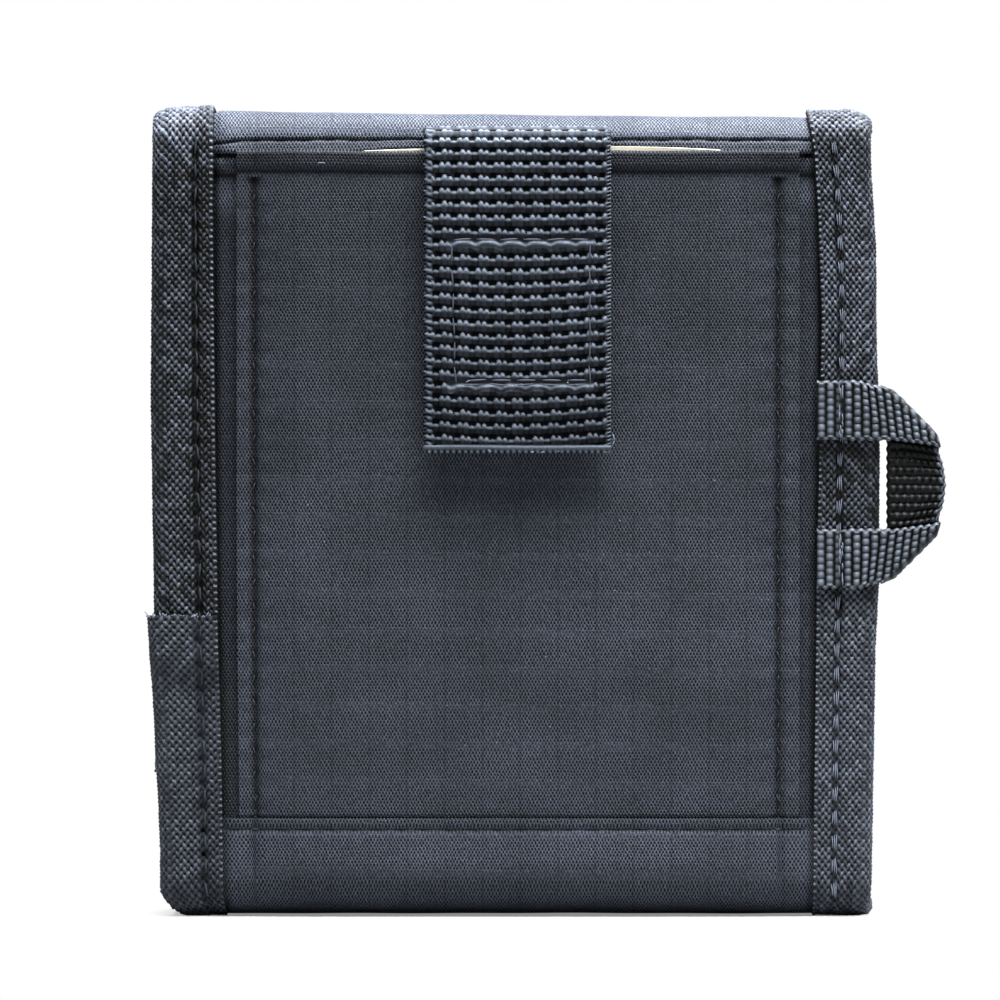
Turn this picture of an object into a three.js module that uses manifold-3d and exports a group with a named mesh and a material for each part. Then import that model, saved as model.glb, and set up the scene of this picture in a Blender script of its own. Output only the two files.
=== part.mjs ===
// Accessory pouch: a small boxy ripstop nylon pouch, standing upright with its lid closed.
// Millimetres, +Z up. The belt side, with the pocket and the webbing tab, faces -Y.
// The lid runs over the top and its flap hangs down the far side, +Y.
import * as THREE from 'three';
import { mergeVertices } from 'three/addons/utils/BufferGeometryUtils.js';
import Module from 'manifold-3d';

const wasm = await Module();
wasm.setup();

// Overall sizes
const pouchWidth = 96.6; // over both side bindings
const pouchHeight = 108.2; // from the table to the top of the side bindings
const wallDepth = 22; // between the outer faces of the belt wall and the far wall
const bottomRadius = 4.5; // outer radius of the body where it turns under
const crestRadius = 4; // outer radius of the lid where it turns down

// Sheet thicknesses
const sheet = 0.5; // one layer of ripstop
const hem = 1; // a folded ripstop edge
const tape = 0.8; // one layer of binding tape
const wallFoam = 1.5; // foam inside the body's walls
const lidFoam = 1; // foam inside the lid and the flap
const lining = 0.4; // lining fabric
const stiffener = 0.4; // pocket stiffener

// Side bindings
const bindingWidth = 8.2; // tape that shows on each face
const tapeLapHeight = 40.3; // top end of the lower left tape, where it laps over the upper one
const tapeLap = 5.6; // length of that lap

// Belt side
const bottomBandTop = 13.3; // hemmed end of the body wrap, above the table
const topBandDrop = 1.1; // hemmed end of the lid strip, below the rounding of the crest
const rearPanelDrop = 0.9; // hem of the rear pocket panel, below the front panel's
const leftStrip = 3.4; // rear panel that shows between the binding and the front panel
const rightStrip = 1.9;
const panelCrown = 2.5; // how far the front panel's middle stands off the rear panel
const panelEdge = 0.8; // how far its side edges stand off
const panelSlope = 8; // width of the soft slope at each side
const panelSideSeam = 2.5; // from its side edges to the pocket's room
const stiffenerMargin = 9.45; // from the front panel's side edges to the stiffener's
const stiffenerPeek = 0.2; // the stiffener's edge shows this far above the front panel's hem

// Webbing tab
const tabWidth = 25;
const tabWebbing = 1.3; // webbing thickness
const tabCentre = 0.6;
const tabRise = 3.1; // the fold stands this far above the front panel's hem
const tabLength = 43; // from the top of the fold to the cut end
const tabRootLength = 11; // sewn length inside the slot
const tabPatchWidth = 19;
const tabPatchLength = 20;
const tabPatchAboveEnd = 7.7; // from the tab's cut end to the patch
const tabPatch = 1; // thickness of each half of the tab's hook and loop
const patchMargin = 1; // the soft half of a hook and loop pair is this much larger all round

// Lanyard loop
const loopWidth = 7.8; // narrow webbing
const loopWebbing = 1.2;
const loopUpperEdge = 71.3; // top edge of the upper leg
const loopLowerEdge = 43.9; // bottom edge of the lower leg
const loopRootInset = 0.4; // from the binding's inner edge to the sewn legs' ends
const loopStandOff = 0.7; // from the binding's edge to the axis that the loop swings about
const loopFoldOffset = 0.6; // from that axis to where the 45 degree folds start

// Mouth, lid and flap
const mouthGap = 3; // from the far wall's binding up to the lid's lining
const mouthBindingHeight = 8.2;
const gussetDrop = 1; // from the mouth down to the gusset's top edge
const flapEnd = 18.5; // lower edge of the flap, above the table
const flapCorner = 2.5; // radius of the flap's lower corners
const flapPatch = 1.5; // thickness of each half of the flap's hook and loop
const flapPatchWidth = 50;
const flapPatchHeight = 20;
const flapPatchAboveEnd = 12; // from the flap's lower edge to the patch

// Clearances
const seam = 0.3; // between neighbours that don't touch
const slip = 0.1; // between layers that lie against each other
const foldGapAngle = 3; // degrees that each side of a fold line stays back from it
const arcSteps = 8;

// Where the fold lines lie on their arcs, in degrees up from +Y
const nearFoldAngle = 135;
const farFoldAngle = 45;
const tabFoldAngle = 135;

// Places that follow from the sizes above
const halfWidth = pouchWidth / 2;
const sheetEdge = halfWidth - tape;
const bindingInner = halfWidth - bindingWidth;
const gussetOuter = bindingInner - slip;
const gussetInner = gussetOuter - sheet;
const coreEdge = gussetInner - seam;
const nearFace = -wallDepth / 2;
const farFace = wallDepth / 2;
const wallBottom = tape;
const crestHeight = pouchHeight - tape;
const lidThickness = sheet + lidFoam + lining;
const flapFace = farFace + 2 * flapPatch + lidThickness;
const nearCrest = { y: nearFace + crestRadius, z: crestHeight - crestRadius };
const farCrest = { y: flapFace - crestRadius, z: crestHeight - crestRadius };
const flangeNear = hem + 2 * sheet; // panel or band, back panel and gusset edge, inside the tape
const flangeFar = 2 * sheet; // body wrap and gusset edge
const mouthHeight = crestHeight - lidThickness - mouthGap;
const mouthWallTop = mouthHeight - tape;
const gussetTop = mouthHeight - gussetDrop;
const topBandHem = nearCrest.z - topBandDrop;
const frontPanelTop = topBandHem - slip;
const rearPanelTop = frontPanelTop - rearPanelDrop;
const frontPanelLeft = -bindingInner + leftStrip;
const frontPanelRight = bindingInner - rightStrip;
const tabTop = frontPanelTop + tabRise;
const tabEnd = tabTop - tabLength;
const tabPatchBottom = tabEnd + tabPatchAboveEnd;
const tabPatchTop = tabPatchBottom + tabPatchLength;

function point(y, z) {
  return new THREE.Vector2(y, z);
}

// A point on a circle, with the angle in degrees, 0 towards the first axis and 90 towards the second.
function polar(centre, radius, degrees) {
  const angle = THREE.MathUtils.degToRad(degrees);
  return point(centre.y + radius * Math.cos(angle), centre.z + radius * Math.sin(angle));
}

function arc(centre, radius, from, to) {
  const points = [];
  for (let i = 0; i <= arcSteps; i += 1) {
    points.push(polar(centre, radius, from + ((to - from) * i) / arcSteps));
  }
  return points;
}

// The closed outline between two lines that run side by side.
function between(outer, inner) {
  return new THREE.Shape([...outer, ...inner.slice().reverse()]);
}

function extruded(shape, depth) {
  return new THREE.ExtrudeGeometry(shape, { depth, bevelEnabled: false, curveSegments: arcSteps });
}

// A shape drawn in the side view, Y and Z, as a bar from one X to another.
function across(shape, fromX, toX) {
  const basis = new THREE.Matrix4().makeBasis(
    new THREE.Vector3(0, 1, 0),
    new THREE.Vector3(0, 0, 1),
    new THREE.Vector3(1, 0, 0),
  );
  return extruded(shape, toX - fromX).applyMatrix4(basis).translate(fromX, 0, 0);
}

// A shape drawn in the front view, X and Z, as a plate from one Y to another.
function facing(shape, fromY, toY) {
  return extruded(shape, toY - fromY).rotateX(Math.PI / 2).translate(0, toY, 0);
}

// A shape drawn in plan, X and Y, as a bar from one Z to another.
function upright(shape, fromZ, toZ) {
  return extruded(shape, toZ - fromZ).translate(0, 0, fromZ);
}

function block(x0, x1, y0, y1, z0, z1) {
  const geometry = new THREE.BoxGeometry(x1 - x0, y1 - y0, z1 - z0);
  return geometry.translate((x0 + x1) / 2, (y0 + y1) / 2, (z0 + z1) / 2);
}

function solid(geometry) {
  const bare = geometry.clone();
  bare.deleteAttribute('normal');
  bare.deleteAttribute('uv');
  const merged = mergeVertices(bare, 1e-5);
  return new wasm.Manifold(new wasm.Mesh({
    numProp: 3,
    vertProperties: new Float32Array(merged.attributes.position.array),
    triVerts: new Uint32Array(merged.index.array),
  }));
}

function surface(body) {
  const mesh = body.getMesh();
  const geometry = new THREE.BufferGeometry();
  geometry.setAttribute('position', new THREE.BufferAttribute(new Float32Array(mesh.vertProperties), 3));
  geometry.setIndex(new THREE.BufferAttribute(new Uint32Array(mesh.triVerts), 1));
  geometry.computeVertexNormals();
  return geometry;
}

function join(...geometries) {
  return surface(geometries.map(solid).reduce((whole, next) => whole.add(next)));
}

function cut(geometry, ...tools) {
  return surface(tools.map(solid).reduce((rest, tool) => rest.subtract(tool), solid(geometry)));
}

function keep(geometry, region) {
  return surface(solid(geometry).intersect(solid(region)));
}

// Materials
function cloth(color, roughness) {
  return new THREE.MeshStandardMaterial({ color, roughness, metalness: 0 });
}

const ripstop = cloth(0x3c4049, 0.55);
const bindingTape = cloth(0x33363d, 0.8);
const tabWebbingMaterial = cloth(0x2b2e34, 0.6);
const liningMaterial = cloth(0x2a2c31, 0.7);
const foamMaterial = cloth(0x4b4d50, 0.95);
const creamSheet = cloth(0xe6dcc0, 0.8);
const hookAndLoop = cloth(0x1d1f22, 0.95);

const pouch = new THREE.Group();

function add(name, geometry, material) {
  const mesh = new THREE.Mesh(geometry, material);
  mesh.name = name;
  pouch.add(mesh);
}

// The line of the body's wall seen from the side: down the belt wall, under, and up the far wall.
// It starts at a height, or on the crest where the lid folds when no height is given.
// The line of the room inside a tape runs past the tape's end there.
function wallLine(nearInset, otherInset, farTop, nearTop, past = 0) {
  const radius = bottomRadius - otherInset;
  const near = nearFace + nearInset;
  const far = farFace - otherInset;
  const low = wallBottom + otherInset;
  const crest = nearCrest.y - near;
  const crestStart = [
    ...(past > 0 ? [polar(nearCrest, crest, nearFoldAngle + foldGapAngle - past)] : []),
    ...arc(nearCrest, crest, nearFoldAngle + foldGapAngle, 180),
  ];
  return [
    ...(nearTop === undefined ? crestStart : [point(near, nearTop)]),
    ...arc({ y: near + radius, z: low + radius }, radius, 180, 270),
    ...arc({ y: far - radius, z: low + radius }, radius, 270, 360),
    point(far, farTop),
  ];
}

// A strip on the belt wall from a lower edge up to the crest, between two depths from the wall's face.
function crestStrip(outerInset, innerInset, lowEnd) {
  const line = (inset) => [
    ...arc(nearCrest, crestRadius - inset, nearFoldAngle + foldGapAngle, 180),
    point(nearFace + inset, lowEnd),
  ];
  return between(line(outerInset), line(innerInset));
}

// The lid's line, from its fold on the belt side to its fold on the far side.
function lidLine(inset, past = 0) {
  const radius = crestRadius - inset;
  return [
    ...(past > 0 ? [polar(nearCrest, radius, nearFoldAngle - foldGapAngle + past)] : []),
    ...arc(nearCrest, radius, nearFoldAngle - foldGapAngle, 90),
    ...arc(farCrest, radius, 90, farFoldAngle + foldGapAngle),
    ...(past > 0 ? [polar(farCrest, radius, farFoldAngle + foldGapAngle - past)] : []),
  ];
}

// The flap's line, from the far fold down to an end.
function flapLine(inset, end, past = 0) {
  const radius = crestRadius - inset;
  return [
    ...(past > 0 ? [polar(farCrest, radius, farFoldAngle - foldGapAngle + past)] : []),
    ...arc(farCrest, radius, farFoldAngle - foldGapAngle, 0),
    point(farCrest.y + radius, end),
  ];
}

// Body walls
function bodyWalls() {
  add('back_panel', across(crestStrip(hem, hem + sheet, bottomRadius + hem), -sheetEdge, sheetEdge), ripstop);

  const wrap = between(
    wallLine(0, 0, mouthWallTop, bottomBandTop),
    wallLine(sheet, sheet, mouthWallTop, bottomBandTop),
  );
  add('body_wrap', across(wrap, -sheetEdge, sheetEdge), ripstop);

  const foamNear = hem + sheet;
  const foam = between(
    wallLine(foamNear, sheet, mouthWallTop, nearCrest.z - seam),
    wallLine(foamNear + wallFoam, sheet + wallFoam, mouthWallTop, nearCrest.z - seam),
  );
  add('body_foam', across(foam, -coreEdge, coreEdge), foamMaterial);

  const inner = between(
    wallLine(foamNear + wallFoam, sheet + wallFoam, mouthWallTop, nearCrest.z - seam),
    wallLine(foamNear + wallFoam + lining, sheet + wallFoam + lining, mouthWallTop, nearCrest.z - seam),
  );
  add('body_lining', across(inner, -coreEdge, coreEdge), liningMaterial);
}

// A gusset: the flat side of the box, with an edge turned out to be caught in the binding.
function gusset(name, side) {
  const outerLine = wallLine(hem + sheet, sheet, gussetTop, gussetTop);
  const innerLine = wallLine(flangeNear, flangeFar, gussetTop, gussetTop);
  const web = new THREE.Shape(outerLine);
  const edge = between(outerLine, innerLine);
  const low = Math.min(side * gussetInner, side * gussetOuter);
  const high = Math.max(side * gussetInner, side * gussetOuter);
  const edgeLow = Math.min(side * gussetInner, side * sheetEdge);
  const edgeHigh = Math.max(side * gussetInner, side * sheetEdge);
  add(name, join(across(web, low, high), across(edge, edgeLow, edgeHigh)), ripstop);
}

// A binding: tape folded over the edges of the walls and the gusset, in a C section.
function bindingSection(side) {
  const skin = between(
    wallLine(-tape, -tape, mouthHeight),
    wallLine(flangeNear + tape, flangeFar + tape, mouthHeight),
  );
  const room = between(
    wallLine(0, 0, mouthHeight + seam, undefined, foldGapAngle),
    wallLine(flangeNear, flangeFar, mouthHeight + seam, undefined, foldGapAngle),
  );
  const low = Math.min(side * bindingInner, side * halfWidth);
  const high = Math.max(side * bindingInner, side * halfWidth);
  const roomLow = Math.min(side * (bindingInner - seam), side * sheetEdge);
  const roomHigh = Math.max(side * (bindingInner - seam), side * sheetEdge);
  return cut(across(skin, low, high), across(room, roomLow, roomHigh));
}

// The left tape is in two lengths: the lower one's end laps over the upper one.
function leftBinding() {
  const beyond = pouchWidth;
  const upperEnd = tapeLapHeight - tapeLap;
  const nearHalf = block(-beyond, beyond, -beyond, 0, upperEnd, 2 * pouchHeight);
  add('left_binding_upper', keep(bindingSection(-1), nearHalf), bindingTape);

  const nearOuter = nearFace - tape;
  const nearInner = nearFace + flangeNear + tape;
  const overlapStart = upperEnd - 2 * tape;
  const sleeve = cut(
    block(-halfWidth - tape, -bindingInner, nearOuter - tape, nearInner + tape, overlapStart, tapeLapHeight),
    block(-halfWidth, -bindingInner + seam, nearOuter, nearInner, overlapStart - seam, tapeLapHeight + seam),
  );
  const upperRoom = block(-beyond, beyond, -beyond, 0, upperEnd - seam, 2 * pouchHeight);
  const lower = join(cut(bindingSection(-1), upperRoom), sleeve);
  add('left_binding_lower', lower, bindingTape);
}

function mouthBinding() {
  const outer = farFace + tape;
  const inner = farFace - sheet - wallFoam - lining - tape;
  const low = mouthHeight - mouthBindingHeight;
  const tapeFold = block(-coreEdge, coreEdge, inner, outer, low, mouthHeight);
  const wall = block(-halfWidth, halfWidth, inner + tape, farFace, low - seam, mouthWallTop);
  add('mouth_binding', cut(tapeFold, wall), bindingTape);
}

// Belt side: the band at the top and the two layers of the slot pocket
function topBand() {
  add('top_band', across(crestStrip(0, hem, topBandHem), -sheetEdge, sheetEdge), ripstop);
}

function rearPocketPanel() {
  const lowEnd = bottomRadius + hem;
  const ledge = bottomBandTop + seam;
  const profile = new THREE.Shape([
    point(nearFace, ledge),
    point(nearFace, rearPanelTop),
    point(nearFace + hem, rearPanelTop),
    point(nearFace + hem, lowEnd),
    point(nearFace + sheet, lowEnd),
    point(nearFace + sheet, ledge),
  ]);
  add('rear_pocket_panel', across(profile, -sheetEdge, sheetEdge), ripstop);
}

// The front panel's outline in plan, a soft crown that stands off the rear panel.
// The room inside it is the same outline, drawn in by the side seam and the sheet's thickness.
function panelPlan(sideInset, thickness) {
  const left = frontPanelLeft + sideInset;
  const right = frontPanelRight - sideInset;
  const slope = panelSlope + thickness;
  const edge = nearFace - panelEdge + thickness;
  const crown = nearFace - panelCrown + thickness;
  const bend = panelSlope / 2;
  const crownLeft = frontPanelLeft + slope;
  const crownRight = frontPanelRight - slope;
  const plan = new THREE.Shape();
  plan.moveTo(left, nearFace);
  plan.lineTo(left, edge);
  plan.bezierCurveTo(left + bend, edge, crownLeft - bend, crown, crownLeft, crown);
  plan.lineTo(crownRight, crown);
  plan.bezierCurveTo(crownRight + bend, crown, right - bend, edge, right, edge);
  plan.lineTo(right, nearFace);
  plan.closePath();
  return plan;
}

function frontPocketPanel() {
  const low = bottomBandTop + seam;
  const whole = upright(panelPlan(0, 0), low, frontPanelTop);
  const room = upright(panelPlan(panelSideSeam, sheet), low + hem, frontPanelTop + seam);
  const openBack = room.clone().translate(0, seam, 0);
  add('front_pocket_panel', cut(whole, room, openBack), ripstop);
}

function pocketStiffener() {
  const root = nearFace - tabWebbing;
  const back = root - slip;
  const left = frontPanelLeft + stiffenerMargin;
  const right = frontPanelRight - stiffenerMargin;
  const low = bottomBandTop + seam + hem + seam;
  const high = frontPanelTop + stiffenerPeek;
  add('pocket_stiffener', block(left, right, back - stiffener, back, low, high), creamSheet);
}

// Webbing tab: its root stands in the slot, the rest folds forward and hangs on the panel.
function webbingTab() {
  const panelFace = nearFace - panelCrown;
  const tabInner = panelFace - 2 * tabPatch;
  const tabOuter = tabInner - tabWebbing;
  const outerRadius = (nearFace - tabOuter) / 2;
  const innerRadius = outerRadius - tabWebbing;
  const bend = { y: (nearFace + tabOuter) / 2, z: tabTop - outerRadius };
  const left = tabCentre - tabWidth / 2;
  const right = tabCentre + tabWidth / 2;

  const rootEnd = frontPanelTop - tabRootLength;
  const rootArcEnd = tabFoldAngle - foldGapAngle;
  const rootLine = (radius) => [point(bend.y + radius, rootEnd), ...arc(bend, radius, 0, rootArcEnd)];
  const root = between(rootLine(outerRadius), rootLine(innerRadius));
  add('tab_root', across(root, left, right), tabWebbingMaterial);

  const tabArcStart = tabFoldAngle + foldGapAngle;
  const tabLine = (radius) => [...arc(bend, radius, tabArcStart, 180), point(bend.y - radius, tabEnd)];
  const hanging = between(tabLine(outerRadius), tabLine(innerRadius));
  add('webbing_tab', across(hanging, left, right), tabWebbingMaterial);

  const half = tabPatchWidth / 2;
  const hookFace = tabInner + tabPatch;
  const hook = block(tabCentre - half, tabCentre + half, tabInner, hookFace, tabPatchBottom, tabPatchTop);
  add('tab_hook_patch', hook, hookAndLoop);
  const soft = half + patchMargin;
  const softPatch = block(
    tabCentre - soft, tabCentre + soft,
    hookFace, panelFace,
    tabPatchBottom - patchMargin, tabPatchTop + patchMargin,
  );
  add('tab_loop_patch', softPatch, hookAndLoop);
}

// Lanyard loop: two sewn legs, and a free part that folds at 45 degrees behind itself.
function lanyardLoop() {
  const legBack = nearFace - tape;
  const legFront = legBack - loopWebbing;
  const middle = (legBack + legFront) / 2;
  const axisX = halfWidth + loopStandOff;
  const roundEnd = loopWebbing / 2;
  const rootEnd = axisX - roundEnd - seam;
  const legs = { upper: loopUpperEdge - loopWidth, lower: loopLowerEdge };
  for (const [name, low] of Object.entries(legs)) {
    const leg = block(bindingInner + loopRootInset, rootEnd, legFront, legBack, low, low + loopWidth);
    add(`lanyard_loop_root_${name}`, leg, tabWebbingMaterial);
  }

  const fold = axisX + loopFoldOffset;
  const reach = fold + loopWidth;
  const hinge = new THREE.Shape();
  hinge.moveTo(fold, legBack);
  hinge.lineTo(axisX, legBack);
  hinge.absarc(axisX, middle, roundEnd, Math.PI / 2, (3 * Math.PI) / 2, false);
  hinge.lineTo(fold, legFront);
  hinge.closePath();
  const upperInner = loopUpperEdge - loopWidth;
  const lowerInner = loopLowerEdge + loopWidth;
  const upperFold = new THREE.Shape([
    point(fold, upperInner),
    point(reach, upperInner),
    point(fold, loopUpperEdge),
  ]);
  const lowerFold = new THREE.Shape([
    point(fold, loopLowerEdge),
    point(reach, lowerInner),
    point(fold, lowerInner),
  ]);
  const run = new THREE.Shape([
    point(fold, loopLowerEdge),
    point(reach, lowerInner),
    point(reach, upperInner),
    point(fold, loopUpperEdge),
  ]);
  const loop = join(
    upright(hinge, upperInner, loopUpperEdge),
    upright(hinge, loopLowerEdge, lowerInner),
    facing(upperFold, legFront, legBack),
    facing(lowerFold, legFront, legBack),
    facing(run, legBack, legBack + loopWebbing),
  );
  add('lanyard_loop', loop, tabWebbingMaterial);
}

// Lid: three layers over the top, bound at its left and right edges
function lid() {
  const foamIn = sheet + lidFoam;
  const layer = (outer, inner) => across(between(lidLine(outer), lidLine(inner)), -sheetEdge, sheetEdge);
  add('lid_panel', layer(0, sheet), ripstop);
  add('lid_foam', layer(sheet, foamIn), foamMaterial);
  add('lid_lining', layer(foamIn, lidThickness), liningMaterial);

  const skin = between(lidLine(-tape), lidLine(lidThickness + tape));
  const room = between(lidLine(0, foldGapAngle), lidLine(lidThickness, foldGapAngle));
  const left = cut(across(skin, -halfWidth, -bindingInner), across(room, -sheetEdge, -bindingInner + seam));
  const right = cut(across(skin, bindingInner, halfWidth), across(room, bindingInner - seam, sheetEdge));
  add('lid_binding_left', left, bindingTape);
  add('lid_binding_right', right, bindingTape);
}

// A plate outline with round lower corners, in the front view.
function flapOutline(halfSpan, low) {
  const high = 2 * pouchHeight;
  const corner = flapCorner;
  const outline = new THREE.Shape();
  outline.moveTo(-halfSpan, high);
  outline.lineTo(-halfSpan, low + corner);
  outline.absarc(-halfSpan + corner, low + corner, corner, Math.PI, 1.5 * Math.PI, false);
  outline.lineTo(halfSpan - corner, low);
  outline.absarc(halfSpan - corner, low + corner, corner, 1.5 * Math.PI, 2 * Math.PI, false);
  outline.lineTo(halfSpan, high);
  outline.closePath();
  return outline;
}

// Flap: the same layers down the far side, with tape on its three free edges
function flap() {
  const foamIn = sheet + lidFoam;
  const layerEnd = flapEnd + tape;
  const sheets = [
    ['flap_panel', 0, sheet, ripstop],
    ['flap_foam', sheet, foamIn, foamMaterial],
    ['flap_lining', foamIn, lidThickness, liningMaterial],
  ];
  const layerRegion = facing(flapOutline(sheetEdge, layerEnd), 0, 2 * wallDepth);
  for (const [name, outer, inner, material] of sheets) {
    const layer = across(between(flapLine(outer, flapEnd), flapLine(inner, flapEnd)), -sheetEdge, sheetEdge);
    add(name, keep(layer, layerRegion), material);
  }

  const low = flapEnd - seam;
  const tapes = between(flapLine(-tape, low), flapLine(lidThickness + tape, low));
  const skin = across(tapes, -halfWidth, halfWidth);
  const region = facing(flapOutline(halfWidth, flapEnd), 0, 2 * wallDepth);
  const layers = between(flapLine(0, low, foldGapAngle), flapLine(lidThickness, low, foldGapAngle));
  const room = across(layers, -sheetEdge, sheetEdge);
  const windowLow = flapEnd + bindingWidth;
  const window = block(-bindingInner, bindingInner, 0, 2 * wallDepth, windowLow, 2 * pouchHeight);
  const binding = cut(keep(skin, region), keep(room, layerRegion), window);
  add('flap_binding', binding, bindingTape);
}

// The flap's hook and loop: the soft half on the far wall, the hook half on the flap.
function flapClosure() {
  const half = flapPatchWidth / 2;
  const low = flapEnd + flapPatchAboveEnd;
  const high = low + flapPatchHeight;
  const meet = farFace + flapPatch;
  add('front_loop_patch', block(-half, half, farFace, meet, low, high), hookAndLoop);
  const hookHalf = half - patchMargin;
  const hook = block(-hookHalf, hookHalf, meet, meet + flapPatch, low + patchMargin, high - patchMargin);
  add('flap_hook_patch', hook, hookAndLoop);
}

bodyWalls();
gusset('left_gusset', -1);
gusset('right_gusset', 1);
leftBinding();
add('right_binding', bindingSection(1), bindingTape);
mouthBinding();
topBand();
rearPocketPanel();
frontPocketPanel();
pocketStiffener();
webbingTab();
lanyardLoop();
lid();
flap();
flapClosure();

// The origin is the middle of the pouch's outline on the table.
const extent = new THREE.Box3().setFromObject(pouch);
const centre = extent.getCenter(new THREE.Vector3());
pouch.position.set(-centre.x, -centre.y, -extent.min.z);

export default pouch;
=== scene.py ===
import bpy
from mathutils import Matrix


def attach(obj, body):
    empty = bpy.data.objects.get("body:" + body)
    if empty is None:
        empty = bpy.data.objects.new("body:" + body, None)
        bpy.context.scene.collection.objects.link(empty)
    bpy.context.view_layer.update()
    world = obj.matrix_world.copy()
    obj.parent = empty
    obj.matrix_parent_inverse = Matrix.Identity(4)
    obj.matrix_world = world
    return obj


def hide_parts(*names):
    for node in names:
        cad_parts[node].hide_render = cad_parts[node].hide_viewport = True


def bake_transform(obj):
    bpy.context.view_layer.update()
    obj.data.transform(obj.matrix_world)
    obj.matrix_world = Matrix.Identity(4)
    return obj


bl_info = {
    "name": "Accessory pouch",
    "version": (1, 0, 0),
    "blender": (4, 5, 0),
    "location": "View3D > Sidebar > Pouch",
    "description": "A boxy ripstop pouch with bound edges, a webbing tab, a lanyard loop and a lid flap",
    "category": "Add Mesh",
}

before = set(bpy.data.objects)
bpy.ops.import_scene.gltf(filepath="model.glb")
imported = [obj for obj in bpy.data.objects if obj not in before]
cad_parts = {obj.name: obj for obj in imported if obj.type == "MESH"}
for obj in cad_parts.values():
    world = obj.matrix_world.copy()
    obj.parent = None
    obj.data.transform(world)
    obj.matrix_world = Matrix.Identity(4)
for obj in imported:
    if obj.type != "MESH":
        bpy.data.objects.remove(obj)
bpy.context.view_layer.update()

import math
from functools import partial

import bpy
import numpy as np
from mathutils import Vector

MM = 0.001
TURN = 2 * math.pi

# The side view, in millimetres: the cloth's faces, and the bends at its crest and at its bottom
NEAR, FAR, FLAP_FACE = -10.95, 11.05, 15.95
CREST, CREST_Z = 4.0, 103.4
BOTTOM = 4.5
LID_MIDDLE = 2.5
BAND_TOP = 13.3
HEM_LOW = 101.8
LINING_NEAR, LINING_FAR = -9.4, 10.5

# The binding tape: its thickness, its face, and its edges and seams in the front view
TAPE = 0.8
TAPE_FACE = 8.2
LEFT_INNER, LEFT_OUTER, LEFT_STITCH = -44.25, -52.45, 2.35
RIGHT_INNER, RIGHT_OUTER, RIGHT_STITCH = 35.95, 44.15, 2.8
FAR_STITCH = 2.4
CLOTH_LEFT, CLOTH_RIGHT = -50.0, 42.5
LAP_TOP = 40.2
JOIN = 67.0
FLAP_LOW = 26.7
MOUTH_LOW = 94.3

# Where the tape's edges wander on the belt wall, as heights and places across
LEFT_EDGE = ((0, -50.6), (4, -50.8), (9, -51.1), (17, -51.7), (31, -52.2), (41, -52.1), (69, -52.55),
             (105, -52.3), (125, -52.3))
LEFT_SELVAGE = ((0.8, -42.3), (3, -42.7), (10, -42.8), (21, -42.95), (36, -43.4), (60, -43.8), (95, -44.15),
                (125, -44.1))
LAP_EDGE = ((0.8, -49.1), (1.5, -50.2), (2.3, -50.9), (3.3, -51.3), (9, -51.3), (17, -51.65), (31, -52.4),
            (36, -52.75), (41, -53.05))
RIGHT_EDGE = ((0, 43.6), (6, 43.8), (36, 44.3), (45, 44.8), (68, 44.85), (74, 44.5), (90, 44.35), (100, 43.7),
              (125, 43.5))
RIGHT_SELVAGE = ((0, 35.8), (12, 35.9), (50, 36.4), (80, 37.0), (94, 36.5), (102, 36.0), (110, 34.6),
                 (125, 34.6))

# The front panel
PANEL_LEFT, PANEL_RIGHT = -41.0, 34.05
PANEL_LOW, PANEL_TOP = 12.2, 102.25
PANEL_SEAMS = (-38.7, 31.2)

# The webbing tab, its fold and its stitched box, measured from its left edge
TAB_LEFT, TAB_RIGHT, TAB_END = -16.05, 8.95, 61.8
TAB_FOLD = (-13.85, 102.4)
TAB_RADIUS = 2.25
TAB_THICK = 1.3
TAB_FACE = TAB_FOLD[0] - TAB_RADIUS - TAB_THICK / 2
TAB_ROOT_TURN = 8
BOX_LEFT, BOX_RIGHT, BOX_TOP, BOX_LEAN = 3.7, 22.1, 89.9, 0.03

# The lanyard loop's webbing, from its root to its folds
LOOP_ROOT, LOOP_SEAM, LOOP_FOLD = 36.35, 39.55, 45.6
LOOP_TOP, LOOP_LOW = 71.65, 43.65
LOOP_WIDTH = 8.2
LOOP_THICK = 1.2
LOOP_FRONT = -12.35
LOOP_TURN = 1.9
LOOP_RIB = 1.2

FORWARDS, BACKWARDS = (0.0, -1.0, 0.0), (0.0, 1.0, 0.0)


def length_property(name, description, default):
    return bpy.props.FloatProperty(name=name, description=f"{description}, mm", default=default)


def colour_property(name, what, *default):
    return bpy.props.FloatVectorProperty(
        name=name, description=f"Colour of the {what}", subtype="COLOR", size=4, default=(*default, 1))


class PouchLook(bpy.types.PropertyGroup):
    stitch: length_property("Stitch", "Length of one machine stitch", 3.19)
    thread: length_property("Thread", "Thickness of the thread", 0.34)
    ripstop_grid: length_property("Ripstop grid", "Pitch of the heavy threads", 5.03)
    braid_column: length_property("Tape column", "Width of a column of the tape", 0.465)
    braid_pitch: length_property("Tape pitch", "Height of a cell of the tape", 1.06)
    braid_depth: length_property("Tape depth", "Depth of the tape's weave", 0.42)
    rib_pitch: length_property("Rib pitch", "Pitch of the tab's ribs", 1.7)
    rib_depth: length_property("Rib depth", "Depth between the tab's ribs", 0.6)
    ripstop: colour_property("Ripstop", "ripstop", 0.045, 0.052, 0.07)
    tape: colour_property("Tape", "binding tape", 0.048, 0.055, 0.071)
    webbing: colour_property("Webbing", "webbing", 0.037, 0.043, 0.053)
    lining: colour_property("Lining", "lining", 0.03, 0.032, 0.038)
    cream: colour_property("Cream", "stiffener", 0.8, 0.74, 0.58)
    pile: colour_property("Pile", "hook and loop", 0.015, 0.016, 0.018)


def look():
    return bpy.context.scene.pouch_look


# Small helpers for shapes

def smooth(x):
    x = np.clip(x, 0, 1)
    return x * x * (3 - 2 * x)


def bell(x, width):
    return np.exp(-(x / width) ** 2)


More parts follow.
